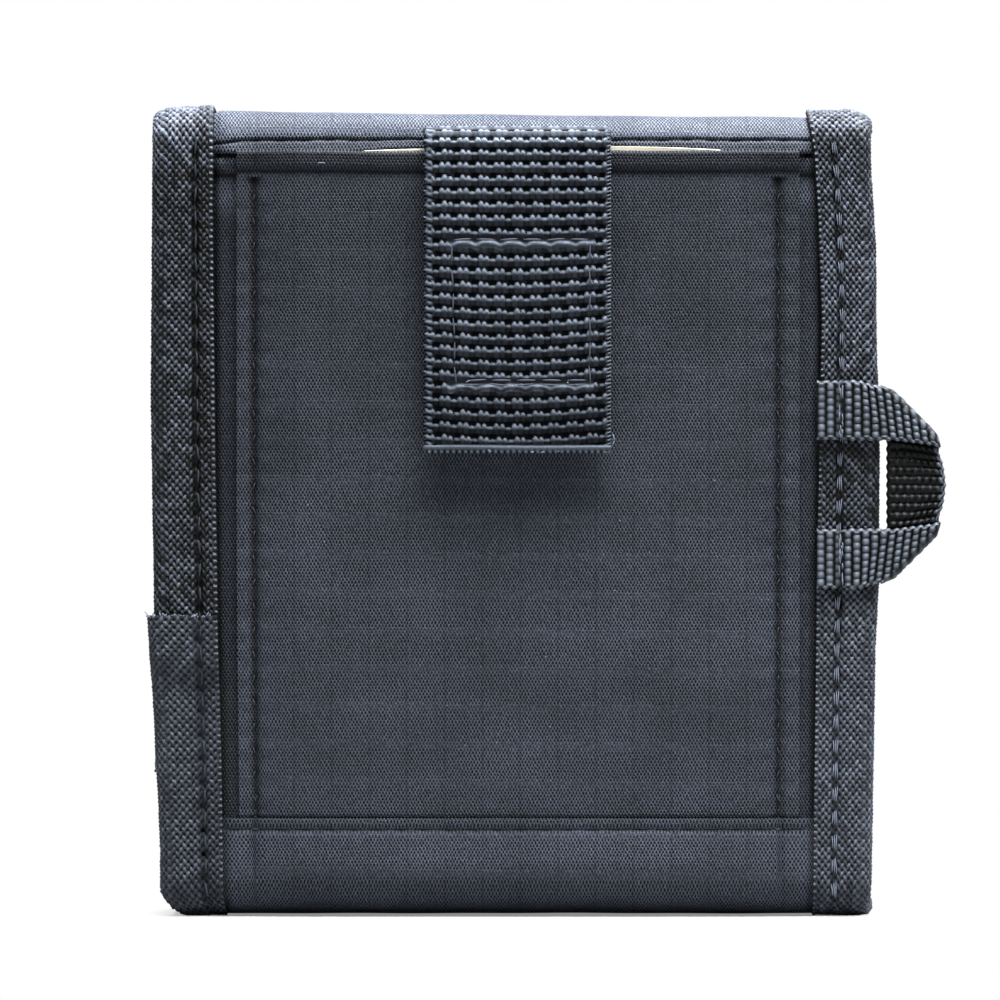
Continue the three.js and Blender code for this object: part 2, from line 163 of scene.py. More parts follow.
def waves(x, pitch, power=1):
    """Even waves from 0 to 1, narrower with a higher power."""
    return (0.5 + 0.5 * np.cos(TURN * x / pitch)) ** power


def over(under, top, share):
    """From under where share is 0 to top where it is 1."""
    return under * (1 - share) + top * share


def scatter(i, j=0.0):
    """The same number from 0 to 1 for the same whole numbers each time."""
    value = np.sin(i * 12.9898 + j * 78.233) * 43758.5453
    return value - np.floor(value)


def wander(x, z, seed=0.0):
    """Soft waves about one unit high, from a few sines that don't repeat."""
    return (np.sin(x * 0.31 + z * 0.17 + seed) + np.sin(x * 0.13 - z * 0.23 + 2.1 * seed + 1.7)
            + np.sin(z * 0.41 + x * 0.07 + 0.7 * seed + 4.0)) / 3


def edge_at(table, height):
    heights, places = zip(*table)
    return np.interp(height, heights, places)


def steps(start, *stretches):
    """Places from start on, a step apart within each stretch, which is its end and its step."""
    parts = [[start]]
    for end, step in stretches:
        parts.append(np.linspace(start, end, max(2, int(abs(end - start) / step)))[1:])
        start = end
    return np.concatenate(parts)


class SideLine:
    """A line in the side view: straight parts (start, end, outward), bends (centre, radius, from, to)."""

    def __init__(self, *parts):
        samples = []
        for part in parts:
            if len(part) == 3:
                start, end, out = part
                for f in np.linspace(0, 1, max(2, int(math.dist(start, end) / 0.1))):
                    samples.append((*(a + (b - a) * f for a, b in zip(start, end)), *out))
            else:
                (y, z), radius, first, last = part
                for angle in np.radians(np.linspace(first, last, 60)):
                    out = (math.cos(angle), math.sin(angle))
                    samples.append((y + radius * out[0], z + radius * out[1], *out))
        self.table = np.array(samples)
        gaps = np.hypot(np.diff(self.table[:, 0]), np.diff(self.table[:, 1]))
        self.length = np.concatenate(([0], np.cumsum(gaps)))
        self.whole = self.length[-1]

    def at(self, distance):
        """The place and the outward direction at a distance along the line."""
        y, z, ny, nz = (np.interp(distance, self.length, self.table[:, k]) for k in range(4))
        size = np.hypot(ny, nz)
        return y, z, ny / size, nz / size

    def rows(self, distances):
        """The same, and the distances themselves, as columns of one number a row."""
        return [part[:, None] for part in (*self.at(distances), distances)]


def cover_line(start, end=19.3):
    """Up the belt wall, over the lid and down the far side."""
    top = CREST_Z + CREST
    return SideLine(
        ((NEAR, start), (NEAR, CREST_Z), (-1, 0)), ((NEAR + CREST, CREST_Z), CREST, 180, 90),
        ((NEAR + CREST, top), (FLAP_FACE - CREST, top), (0, 1)),
        ((FLAP_FACE - CREST, CREST_Z), CREST, 90, 0), ((FLAP_FACE, CREST_Z), (FLAP_FACE, end), (1, 0)))


def body_line(start, end):
    """Down the belt wall, under the bottom and up the far wall."""
    low = TAPE + BOTTOM
    return SideLine(
        ((NEAR, start), (NEAR, low), (-1, 0)), ((NEAR + BOTTOM, low), BOTTOM, 180, 270),
        ((NEAR + BOTTOM, TAPE), (FAR - BOTTOM, TAPE), (0, -1)),
        ((FAR - BOTTOM, low), BOTTOM, 270, 360), ((FAR, low), (FAR, end), (1, 0)))


def lid_share(line):
    """The length of a cover line at the middle of the lid."""
    y, z, _, _ = line.at(line.length)
    return float(line.length[(y >= LID_MIDDLE) & (z > CREST_Z)][0])


def crest_drop(x):
    """How much lower the lid's top is towards the right."""
    return np.interp(x, [-44, -25, -4, 36], [-0.3, -0.05, 0.3, 0.6])


def under_tape(x):
    """How far the cloth lies back where a side tape covers it."""
    return 0.5 * (smooth((-43.4 - x) / 0.8) + smooth((x - 36.4) / 0.8))


def tape_gap_shade(x, z):
    """Painted shade in the gap along a tape's inner edge, where the tape stands off the cloth."""
    left = bell(x - edge_at(LEFT_SELVAGE, z) - 0.2, 0.55)
    right = bell(x - edge_at(RIGHT_SELVAGE, z) + 0.2, 0.5)
    return 0.93 * np.maximum(left, right)


# Mesh helpers

def deselect():
    if bpy.context.mode != "OBJECT":
        bpy.ops.object.mode_set(mode="OBJECT")
    bpy.ops.object.select_all(action="DESELECT")


def pick(obj):
    deselect()
    obj.select_set(True)
    bpy.context.view_layer.objects.active = obj


def named(name):
    obj = bpy.context.active_object
    obj.name = name
    obj.data.name = name
    return obj


def edited(obj, *jobs):
    """Runs jobs, each an operator with its settings, on the whole object in edit mode."""
    pick(obj)
    bpy.ops.object.mode_set(mode="EDIT")
    for job, settings in jobs:
        bpy.ops.mesh.select_all(action="SELECT")
        job(**settings)
    bpy.ops.object.mode_set(mode="OBJECT")


def modified(obj, kind, **settings):
    """Applies a new modifier with these settings."""
    pick(obj)
    modifier = obj.modifiers.new(kind, kind)
    for name, value in settings.items():
        setattr(modifier, name, value)
    bpy.ops.object.modifier_apply(modifier=modifier.name)


def smoothed(obj, angle=50):
    pick(obj)
    bpy.ops.object.shade_smooth_by_angle(angle=math.radians(angle))


def grid(name, places, across, along, **values):
    """A grid from rows of places in millimetres, with a map in millimetres of cloth and its attributes."""
    rows, columns = places.shape[:2]
    deselect()
    bpy.ops.mesh.primitive_grid_add(x_subdivisions=columns - 1, y_subdivisions=rows - 1, size=1)
    obj = named(name)
    mesh = obj.data
    mesh.vertices.foreach_set("co", (places * MM).astype(np.float32).ravel())
    mesh.update()
    layer = mesh.uv_layers[0]
    layer.name = "cloth"
    corners = np.zeros(len(mesh.loops), np.int32)
    mesh.loops.foreach_get("vertex_index", corners)
    pairs = np.stack([across.ravel()[corners], along.ravel()[corners]], 1)
    layer.data.foreach_set("uv", pairs.astype(np.float32).ravel())
    for label, value in values.items():
        attribute = mesh.attributes.new(label, "FLOAT", "POINT")
        attribute.data.foreach_set("value", value.astype(np.float32).ravel())
    return obj


def dress(obj, material, body, stands_for=()):
    """Gives a piece its material, the nodes it replaces and, unless it blends two, its body."""
    obj.data.materials.clear()
    obj.data.materials.append(cloth_material(material))
    if stands_for:
        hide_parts(*stands_for)
    if body:
        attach(obj, body)
    return obj


def cloth(name, x, y, z, across, along, out, thick, material, body, stands_for, dark=None, angle=50):
    """A sheet of cloth whose face looks along out, on average, and that is thick behind that face."""
    x, y, z, across, along = np.broadcast_arrays(x, y, z, across, along)
    # The attribute is painted shade taken off the ripstop's colour, and painted light where it is below zero
    values = {} if dark is None else {"dark": dark + 0 * x}
    obj = grid(name, np.stack([x, y, z], 2), across, along, **values)
    looks = sum((face.normal * face.area for face in obj.data.polygons), Vector((0, 0, 0)))
    if looks.dot(Vector(out)) < 0:
        edited(obj, (bpy.ops.mesh.flip_normals, {}))
    modified(obj, "SOLIDIFY", thickness=thick * MM, offset=-1.0, use_even_offset=False)
    smoothed(obj, angle)
    return dress(obj, material, body, stands_for)


def tube(name, *tables):
    """A tube with closed ends from tables of places, map and weave whose last column meets the first."""
    places, across, along, weave = (np.concatenate([table, table[:, :1]], 1) for table in tables)
    obj = grid(name, places, across, along, weave=weave)
    edited(obj, (bpy.ops.mesh.remove_doubles, {"threshold": 0.000004}),
           (bpy.ops.mesh.fill_holes, {"sides": 0}),
           (bpy.ops.mesh.normals_make_consistent, {"inside": False}))
    smoothed(obj)
    return obj


# Weaves, as heights from 0 to 1 and as lightness, which is painted light on the yarns' tops and painted shade
# in their gaps

def braid(across, along, column, pitch):
    """Staggered beads of yarn: every other column leans the other way, half a pitch up."""
    pair = 2 * column
    height = 0 * across
    light = 0 * across
    for shift_across, shift_along, way, size in ((0.25, 0.0, 1.0, 1.0), (0.75, 0.5, -1.0, 0.88)):
        i = np.floor(across / pair - shift_across + 0.5)
        j = np.floor(along / pitch - shift_along + 0.5)
        dx = (across / pair - shift_across - i) * pair
        dy = (along / pitch - shift_along - j) * pitch
        u = dx * 0.84 + way * dy * 0.54
        v = -way * dx * 0.54 + dy * 0.84
        bead = np.sqrt(np.clip(1 - (u / 0.28) ** 2 - (v / 0.49) ** 2, 0, 1))
        bead = size * bead * (0.76 + 0.24 * scatter(i, j))
        patch = 0.5 + 0.5 * wander(i * 1.3, j * 1.1, 5.0)
        # Lightness follows each bead's height, painted shade at its edges and in the gaps; the random gain
        # per bead is partly uneven yarn and partly painted glints
        light = np.maximum(light, bead * (0.34 + 0.5 * scatter(j, i) ** 1.5 + 0.16 * patch))
        height = np.maximum(height, bead)
    return height, light


def ribs(across, along, pitch):
    """The tab's ribs: strands in threes of uneven height, over a deep gap."""
    place = along / pitch
    row = np.floor(place)
    local = place - row
    even = np.mod(row, 2) == 0
    strand_place = (across + np.where(even, 0.0, 0.36)) / 0.803
    strand = np.floor(strand_place)
    inside = strand_place - strand - 0.5
    kind = np.mod(strand, 3)
    low = kind == 2
    arch = np.clip(np.cos(math.pi * inside), 0, 1)
    dome = arch ** 0.6
    tooth = np.where(low, 0.05, 0.27) * (1 - arch)
    second = np.where(even, 0.14 + 0.08 * inside, 0.05)
    first = np.select([kind == 0, kind == 1], [0.04 + 0 * inside, second], 0.32)
    top = first + tooth + 0.05 * scatter(strand, row)
    rise = np.sin(math.pi / 2 * np.clip((local - top) / 0.3, 0, 1))
    lean = 1 - 0.55 * np.clip((local - top - 0.22) / (0.78 - top), 0, 1)
    fall = 1 - 0.15 * smooth((local - 0.94) / 0.06)
    fade = smooth((local - np.where(low, 0.46, 0.36)) / np.where(low, 0.16, 0.3))
    # The caps, which face the lamp, get painted highlights; the bodies under them and the gaps get painted
    # shade
    cap = smooth((local - top + 0.03) / 0.06) * (1 - 0.64 * fade)
    light = cap * (1 - 0.3 * smooth((local - 0.9) / 0.1)) * (0.66 + 0.34 * dome) * np.where(low, 0.8, 1.0)
    above = 1 - smooth((local - top + 0.06) / 0.06)
    light = np.maximum(light, above * np.where(low, 0.09, 0.2))
    height = 0.15 + 0.85 * rise * lean * fall * np.where(low, 0.8, 1.0) * (0.72 + 0.28 * dome)
    height = np.maximum(height, above * np.where(low, 0.16, 0.45))
    return height, light * (0.75 + 0.25 * scatter(row, strand))


def pillows(across, along, rib, cell):
    """The loop's weave: ribs across the webbing made of rounded cells, half a cell up in every other rib."""
    place = along / rib
    column = np.floor(place)
    stack = across / cell + 0.5 * np.mod(column, 2)
    number = np.floor(stack)
    hump = np.clip(np.cos(math.pi * (place - column - 0.5) / 0.94), 0, 1) ** 0.7
    pillow = np.clip(np.cos(math.pi * (stack - number - 0.5)), 0, 1) ** 0.55
    height = hump * (0.25 + 0.75 * pillow)
    # Lightness follows the cells' height, painted shade between them, with a random gain per cell
    return height, height ** 1.25 * (0.7 + 0.3 * scatter(column, number))


# Materials

def emptied(owner):
    owner.use_nodes = True
    owner.node_tree.nodes.clear()
    return owner.node_tree


def node(tree, kind, inputs=None, **settings):
    """A new shader node with these settings, and with its inputs set or linked."""
    made = tree.nodes.new(f"ShaderNode{kind}")
    for name, value in settings.items():
        setattr(made, name, value)
    for name, value in (inputs or {}).items():
        if isinstance(value, bpy.types.NodeSocket):
            tree.links.new(value, made.inputs[name])
        else:
            made.inputs[name].default_value = value
    return made


def calc(tree, operation, *values, clamp=False):
    return node(tree, "Math", dict(enumerate(values)), operation=operation, use_clamp=clamp).outputs[0]


def mix_colour(tree, factor, first, second, blend="MIX"):
    inputs = {0: factor, 6: first, 7: second}
    return node(tree, "Mix", inputs, data_type="RGBA", blend_type=blend).outputs[2]


def spread(tree, value, low, high, to_low=0.0, to_high=1.0):
    """Maps low to high onto to_low to to_high."""
    inputs = {"Value": value, "From Min": low, "From Max": high, "To Min": to_low, "To Max": to_high}
    return node(tree, "MapRange", inputs).outputs["Result"]


def noise(tree, place, scale, detail):
    return node(tree, "TexNoise", {"Vector": place, "Scale": scale, "Detail": detail}).outputs["Fac"]


def new_group(name, inputs, outputs):
    """A node group, the sockets inside it that its inputs give, and those that its outputs take."""
    group = bpy.data.node_groups.new(name, "ShaderNodeTree")
    for label, value in inputs.items():
        kind = "NodeSocketVector" if value is None else "NodeSocketFloat"
        socket = group.interface.new_socket(label, in_out="INPUT", socket_type=kind)
        if value is not None:
            socket.default_value = value
    for label in outputs:
        group.interface.new_socket(label, in_out="OUTPUT", socket_type="NodeSocketFloat")
    return group, group.nodes.new("NodeGroupInput").outputs, group.nodes.new("NodeGroupOutput").inputs


def ripstop_group():
    """Plain weave of fine threads with a heavy thread every few millimetres both ways."""
    found = bpy.data.node_groups.get("Ripstop weave")
    if found:
        return found
    group, enter, leave = new_group(
        "Ripstop weave", {"Cloth": None, "Dot Width": 0.453, "Row Height": 0.413, "Grid": 5.03},
        ("Height", "Thread", "Line"))
    add, take = partial(calc, group, "ADD"), partial(calc, group, "SUBTRACT")
    times, divide = partial(calc, group, "MULTIPLY"), partial(calc, group, "DIVIDE")
    split = node(group, "SeparateXYZ", {0: enter["Cloth"]}).outputs
    wobble = noise(group, enter["Cloth"], 0.9, 1.0)
    drift = times(take(wobble, 0.5), 0.28)
    across = add(split["X"], drift)
    turns = divide(across, enter["Dot Width"])
    rows = divide(add(split["Y"], drift), enter["Row Height"])
    both = times(calc(group, "COSINE", times(turns, TURN)), calc(group, "COSINE", times(rows, math.pi)))
    # hole is painted shade in the pin holes between the threads
    hole = spread(group, times(both, -1.0), -0.22, 0.45)

    def to_heavy(value):
        """How far it is to the next heavy thread, as a share of the grid."""
        part = take(calc(group, "FRACT", divide(value, enter["Grid"])), 0.5)
        return take(0.5, calc(group, "ABSOLUTE", part))

    tilted = add(add(split["Y"], times(split["X"], 0.012)), add(drift, 2.44))
    band = spread(group, to_heavy(tilted), 0.11, 0.04)
    edge = spread(group, to_heavy(take(tilted, 0.5)), 0.035, 0.0)
    # line is a painted highlight along one edge of each heavy thread
    line = times(edge, spread(group, wobble, 0.4, 0.6, 0.1, 1.0))
    hole = times(hole, take(1.0, times(band, 0.2)))
    column = spread(group, to_heavy(take(across, 1.83)), 0.045, 0.02)
    dim = times(calc(group, "MAXIMUM", times(band, 0.3), column), 0.22)
    thread = times(take(1.0, hole), take(1.0, dim))
    height = add(times(thread, 0.8), times(line, 0.3))
    for label, value in (("Height", height), ("Thread", thread), ("Line", line)):
        group.links.new(value, leave[label])
    return group


def fibre_group():
    """Fine broken fibres and dust, from the place on the piece."""
    found = bpy.data.node_groups.get("Fibres")
    if found:
        return found
    group, enter, leave = new_group("Fibres", {"Place": None, "Size": 3000.0}, ("Fibre", "Patch"))
    group.links.new(noise(group, enter["Place"], enter["Size"], 3.0), leave["Fibre"])
    group.links.new(noise(group, enter["Place"], 90.0, 3.0), leave["Patch"])
    return group


def own_place(tree):
    return node(tree, "TexCoord").outputs["Object"]


def attribute_value(tree, name):
    return node(tree, "Attribute", attribute_name=name).outputs["Fac"]


def fibres_on(tree, size):
    return node(tree, "Group", {"Place": own_place(tree), "Size": size}, node_tree=fibre_group()).outputs


def scaled(colour, times):
    return (*(min(1.0, c * times) for c in colour[:3]), 1.0)


def surface(tree, colour, height, bump, roughness, specular, sheen=0.0, sheen_roughness=0.5):
    """Cloth of a colour and shine, with a height whose bump is in millimetres, as the material's surface."""
    bumped = node(tree, "Bump", {"Strength": 1.0, "Distance": bump * MM, "Height": height})
    shader = node(tree, "BsdfPrincipled", {
        "Base Color": colour, "Normal": bumped.outputs["Normal"], "Roughness": roughness,
        "Specular IOR Level": specular, "Sheen Weight": sheen, "Sheen Roughness": sheen_roughness})
    node(tree, "OutputMaterial", {"Surface": shader.outputs["BSDF"]})


def ripstop_nodes(tree):
    colour = look().ripstop
    cloth_map = node(tree, "UVMap", uv_map="cloth").outputs["UV"]
    inputs = {"Cloth": cloth_map, "Grid": look().ripstop_grid}
    weave = node(tree, "Group", inputs, node_tree=ripstop_group()).outputs
    fibres = fibres_on(tree, 2500.0)
    # Painted shade in the weave's holes, and a painted highlight along one edge of each heavy thread
    body = mix_colour(tree, weave["Thread"], scaled(colour, 0.0), scaled(colour, 1.05))
    body = mix_colour(tree, calc(tree, "MULTIPLY", weave["Line"], 0.35), body, scaled(colour, 1.4))
    shade = calc(tree, "MULTIPLY", spread(tree, fibres["Patch"], 0.35, 0.65, 0.84, 1.14),
                 spread(tree, fibres["Fibre"], 0.3, 0.7, 0.65, 1.4))
    # Random patches and fibres, times the piece's painted shading: shade above zero, light below it
    shade = calc(tree, "MULTIPLY", shade, calc(tree, "SUBTRACT", 1.0, attribute_value(tree, "dark")))
    surface(tree, mix_colour(tree, 1.0, body, shade, "MULTIPLY"), weave["Height"], 0.12, 0.48, 0.1)


def relief_nodes(tree, colour, low, high, roughness, fibre, specular):
    """Cloth whose weave is in its mesh, coloured by painted shade between the threads and painted highlights
    on top of them.
    """
    colour = getattr(look(), colour)
    fibres = fibres_on(tree, 5200.0)
    # The weave attribute holds the painted light and shade that braid, ribs and pillows give
    top = spread(tree, attribute_value(tree, "weave"), 0.15, 0.95)
    body = mix_colour(tree, top, scaled(colour, low), scaled(colour, high))
    shade = calc(tree, "MULTIPLY", spread(tree, fibres["Fibre"], 0.3, 0.7, 1 - fibre, 1 + fibre),
                 spread(tree, fibres["Patch"], 0.35, 0.65, 0.88, 1.1))
    surface(tree, mix_colour(tree, 1.0, body, shade, "MULTIPLY"), fibres["Fibre"], 0.05, roughness, specular)


def plain_nodes(tree, colour, times, roughness, fibre_size, bump, sheen):
    """Cloth, pile or thread with fine fibres and patches."""
    colour = scaled(getattr(look(), colour), times)
    fibres = fibres_on(tree, fibre_size)
    body = mix_colour(tree, fibres["Fibre"], scaled(colour, 0.7), scaled(colour, 1.3))
    body = mix_colour(tree, spread(tree, fibres["Patch"], 0.3, 0.7), scaled(colour, 0.85), body)
    surface(tree, body, fibres["Fibre"], bump, roughness, 0.2, sheen)


# Each material's builder and its settings, in the builder's order
MATERIALS = {
    "ripstop cloth": (ripstop_nodes,),
    "binding tape": (relief_nodes, "tape", 0.02, 3.5, 0.5, 0.25, 0.16),
    "tab webbing": (relief_nodes, "webbing", 0.04, 4.0, 0.5, 0.25, 0.02),
    "loop webbing": (relief_nodes, "webbing", 0.03, 3.7, 0.42, 0.2, 0.12),
    "lining cloth": (plain_nodes, "lining", 1.0, 0.6, 3500.0, 0.04, 0.1),
    "hook and loop": (plain_nodes, "pile", 1.0, 0.9, 4500.0, 0.25, 0.15),
    "cream sheet": (plain_nodes, "cream", 1.0, 0.7, 1500.0, 0.02, 0.0),
    "sewing thread": (plain_nodes, "tape", 1.0, 0.6, 8000.0, 0.03, 0.0),
    # One thread as it is, with painted shade and with painted light
    "dull thread": (plain_nodes, "tape", 0.45, 0.6, 8000.0, 0.03, 0.0),
    "bright thread": (plain_nodes, "tape", 3.2, 0.6, 8000.0, 0.03, 0.0),
    "loose fibre": (plain_nodes, "tape", 3.2, 0.6, 8000.0, 0.03, 0.0),
}


def cloth_material(name):
    """A material by its name, built on its first use."""
    found = bpy.data.materials.get(name)
    if found is None:
        found = bpy.data.materials.new(name)
        build, *settings = MATERIALS[name]
        build(emptied(found), *settings)
    return found


# Bindings

def squared(value):
    """Makes a round fold a little squarer."""
    return np.sign(value) * np.abs(value) ** 0.75


def tape_tube(name, place, rows, width, flange, stitch, mitre=(0.0, 0.0), inner=1.0, painted_light_gain=None):
    """Tape folded over an edge, as a closed C section.

    place gives a point for how far it is across, how far it stands out and how far along. width and flange
    are the tape's face and what is inside it, for each row. inner is how light it is inside its stitches, and
    the last argument gives a gain and a least lightness for each height, on the weave's painted light and
    shade.
    """
    column, pitch = look().braid_column, look().braid_pitch
    face = np.linspace(0, 1, int(round(TAPE_FACE / column * 3.8)))
    turn = np.linspace(0, 1, 31)[1:]
    back = np.linspace(0, 1, 13)[1:]
    w, f = width[:, None], flange[:, None]
    r = (f + 2 * TAPE) / 2
    zero = 0 * w
    angle = math.pi / 2 - math.pi * turn[None, :]
    flat = w - r - 0.12
    full = (TAPE_FACE + zero) - r
    a = np.concatenate([0.12 + face * flat, (w - r) + r * squared(np.cos(angle)), (w - r) - back * flat, zero,
                        zero + 0.25, w - 0.9, w - 0.9, zero + 0.25, zero - 0.1], 1)
    h = np.concatenate([TAPE + face * zero, (TAPE - r) + r * squared(np.sin(angle)),
                        -(f + TAPE) + back * zero, -(f + 0.5 * TAPE), -f, -f, zero, zero, zero + 0.3], 1)
    c = np.concatenate([face * full, full + r * math.pi * turn, full + r * math.pi + back * full], 1)
    na = np.concatenate([face * zero, np.cos(angle) + zero, back * zero], 1)
    nh = np.concatenate([1 + face * zero, np.sin(angle) + zero, -1 + back * zero], 1)
    share = ((rows - rows[0]) / (rows[-1] - rows[0]))[:, None]
    low = rows[0] - mitre[0] * a
    high = rows[-1] + mitre[1] * a
    along = low + share * (high - low)
    woven = c.shape[1]
    run = along[:, :woven]
    on_face = np.zeros(woven)
    on_face[:len(face)] = 1
    fade = np.ones(woven)
    fade[len(face) + len(turn):] = 0.35
    z = place(a, h, along)[..., 2][:, :1]
    sewn = (1 - smooth((z - 102.0) / 2.5)) * smooth(z / 2.5)
    groove = bell(c - stitch - 0.12 * wander(run * 1.3, 0 * run, 1.0), 0.5) * on_face * sewn
    pull = groove * (0.34 + 0.34 * waves(run, look().stitch, 3))
    selvage = bell(c - 0.05, 0.3) * on_face
    dots = waves(run, pitch * 0.8, 2)
    weave, light = braid(c, run, column, pitch)
    weave = over(weave * fade * (1 - 0.45 * groove), 0.1 + 0.85 * dots, selvage)
    outer = min(1.0, inner * 1.3)
    # Painted shade in the stitch groove, and less lightness inside the stitches by inner
    light = light * (1 - 0.6 * groove) * (outer + (inner - outer) * smooth((stitch - c) / 0.6) * on_face)
    light = over(light, 0.05 + 0.62 * dots, selvage)
    if painted_light_gain is not None:
        gain, least = painted_light_gain(z)
        light = light * gain + least
    swell = 0.16 * np.sin(math.pi * np.clip((c - stitch) / (TAPE_FACE - stitch), 0, 1)) * on_face
    out = look().braid_depth * (weave - 0.75) + swell - pull
    a[:, :woven] += na * out
    h[:, :woven] += nh * out
    # The tape's painted light and shade, on its woven part only
    shade = np.zeros(a.shape)
    shade[:, :woven] = light
    across = np.concatenate([c, np.zeros((len(rows), a.shape[1] - woven))], 1)
    return tube(name, place(a, h, along), across, along, shade)


def side_tape(name, line, rows, edges, side, stitch, inside, lift=None, **settings):
    """A tape that follows a line in the side view.

    edges gives its two edges in the front view. inside is the thickness in it on the belt wall and elsewhere.
    """
    y, z, _, _ = line.at(rows)
    near, far = edges(z, y)

    def place(a, h, along):
        ly, lz, ny, nz = line.at(along)
        edge_in, _ = edges(lz, ly)
        if lift is not None:
            h = h + lift(ly, lz, a)
        return np.stack([edge_in + side * a, ly + ny * h, np.maximum(lz + nz * h, 0.0)], 2)

    flange = inside[0] + (inside[1] - inside[0]) * smooth((y + 9) / 4)
    return tape_tube(name, place, rows, np.abs(far - near), flange, stitch, **settings)


def ribbon(name, place, rows, width, thick, relief, columns, depth, inside, back):
    """Webbing as a closed strip: its outer face, a round edge, its inner face and the other edge."""
    turn = np.linspace(0, 1, 8)[1:-1]
    face = np.linspace(0, 1, columns)
    rear = np.linspace(0, 1, back)
    half = thick / 2
    angle = math.pi / 2 - math.pi * turn
    a = np.concatenate([half + face * (width - thick), (width - half) + half * np.cos(angle),
                        (width - half) - rear * (width - thick), half - half * np.cos(angle)])
    h = np.concatenate([half + 0 * face, half * np.sin(angle), -half + 0 * rear, -half * np.sin(angle)])
    na = np.concatenate([0 * face, np.cos(angle), 0 * rear, -np.cos(angle)])
    nh = np.concatenate([1 + 0 * face, np.sin(angle), -1 + 0 * rear, -np.sin(angle)])
    a = np.tile(a, (len(rows), 1))
    along = np.tile(np.asarray(rows, float)[:, None], (1, a.shape[1]))
    raised, light = relief(a, along, nh[None, :])
    out = depth * (raised - 0.75) * np.where(nh[None, :] < -0.5, inside, 1.0)
    a = a + na * out
    return tube(name, place(a, h + nh * out, along), a, along, light + 0 * a)


def measured_edges(selvage, inner, edge, outer):
    """A side tape's edges: as measured on the belt wall, and straight behind it."""
    def edges(z, y):
        near = smooth((-y - 2) / 6)
        return over(inner, edge_at(selvage, z), near), over(outer, edge_at(edge, z), near)
    return edges


left_edges = measured_edges(LEFT_SELVAGE, LEFT_INNER, LEFT_EDGE, LEFT_OUTER)
right_edges = measured_edges(RIGHT_SELVAGE, RIGHT_INNER, RIGHT_EDGE, RIGHT_OUTER)


def lap_edges(z, y):
    """The same for the left lower tape, whose lapped edge runs out under the bottom."""
    near = smooth((-y + 2) / 8)
    lap = edge_at(LAP_EDGE, z)
    behind = np.maximum(lap + 0.2, LEFT_OUTER)
    return over(LEFT_INNER, edge_at(LEFT_SELVAGE, z), near), over(behind, lap, near)


def left_crest(y, z, a):
    """How much higher the left tape stands over the lid's near part."""
    return smooth((z - 104.5) / 2.5) * (0.35 - 0.09 * a) * (1 - smooth((y - 3) / 8))


def right_crest(y, z, a):
    """How much lower the right tape lies over the lid."""
    return smooth((z - 104.5) / 2.5) * (-0.3 - 0.03 * a - 0.3 * smooth((a - 5.5) / 2.5))


# Stitches

def capsule():
    """One stitch, a short round-ended thread along X, modelled once."""
    deselect()
    bpy.ops.mesh.primitive_uv_sphere_add(segments=8, ring_count=6, radius=0.5)
    obj = named("stitch pattern")
    points = np.zeros(len(obj.data.vertices) * 3)
    obj.data.vertices.foreach_get("co", points)
    faces = [face.vertices[:] for face in obj.data.polygons]
    bpy.data.objects.remove(obj)
    return points.reshape(-1, 3)[:, [2, 0, 1]], faces


def thread_piece(name, stitches, thickness, material, body):
    """Stitches, each from a start to an end and standing a little out, as one mesh."""
    points, faces = capsule()
    all_points = []
    all_faces = []
    for number, (start, end, out) in enumerate(stitches):
        start, end, out = (np.array(part, float) for part in (start, end, out))
        run = end - start
        size = np.linalg.norm(run)
        run = run / size
        side = np.cross(run, out)
        side = side / np.linalg.norm(side)
        out = np.cross(side, run)
        axes = np.stack([run * size, side * thickness * 1.25, out * thickness])
        bow = (0.25 - points[:, :1] ** 2) * 4 * 0.12 * out[None, :]
        all_points.append(points @ axes + (start + end) / 2 + bow)
        # The axes mirror the pattern, so that its faces are taken the other way round
        all_faces.extend([number * len(points) + k for k in reversed(face)] for face in faces)
    mesh = bpy.data.meshes.new(name)
    mesh.from_pydata((np.concatenate(all_points) * MM).tolist(), [], all_faces)
    obj = bpy.data.objects.new(name, mesh)
    bpy.context.scene.collection.objects.link(obj)
    smoothed(obj, 80)
    return dress(obj, material, body)


def row_of_stitches(place, start, end, gap=0.72, lean=0.06):
    """A row of stitches along a line for which place gives points and outward directions by length."""
    count = max(1, int(round((end - start) / look().stitch)))
    row = []
    for k in range(count):
        low = start + (end - start) * k / count
        high = start + (end - start) * (k + 1) / count
        middle = (low + high) / 2
        half = (high - low) / 2 * gap
        slant = lean * (1 if k % 2 else -1) + (scatter(k, start) - 0.5) * 0.12
        a, out = place(middle - half)
        b, _ = place(middle + half)
        side = np.cross(np.array(b) - np.array(a), out)
        side = side / np.linalg.norm(side)
        row.append((np.array(a) - side * slant, np.array(b) + side * slant, out))
    return row


# Operators: one for each piece or group of like pieces

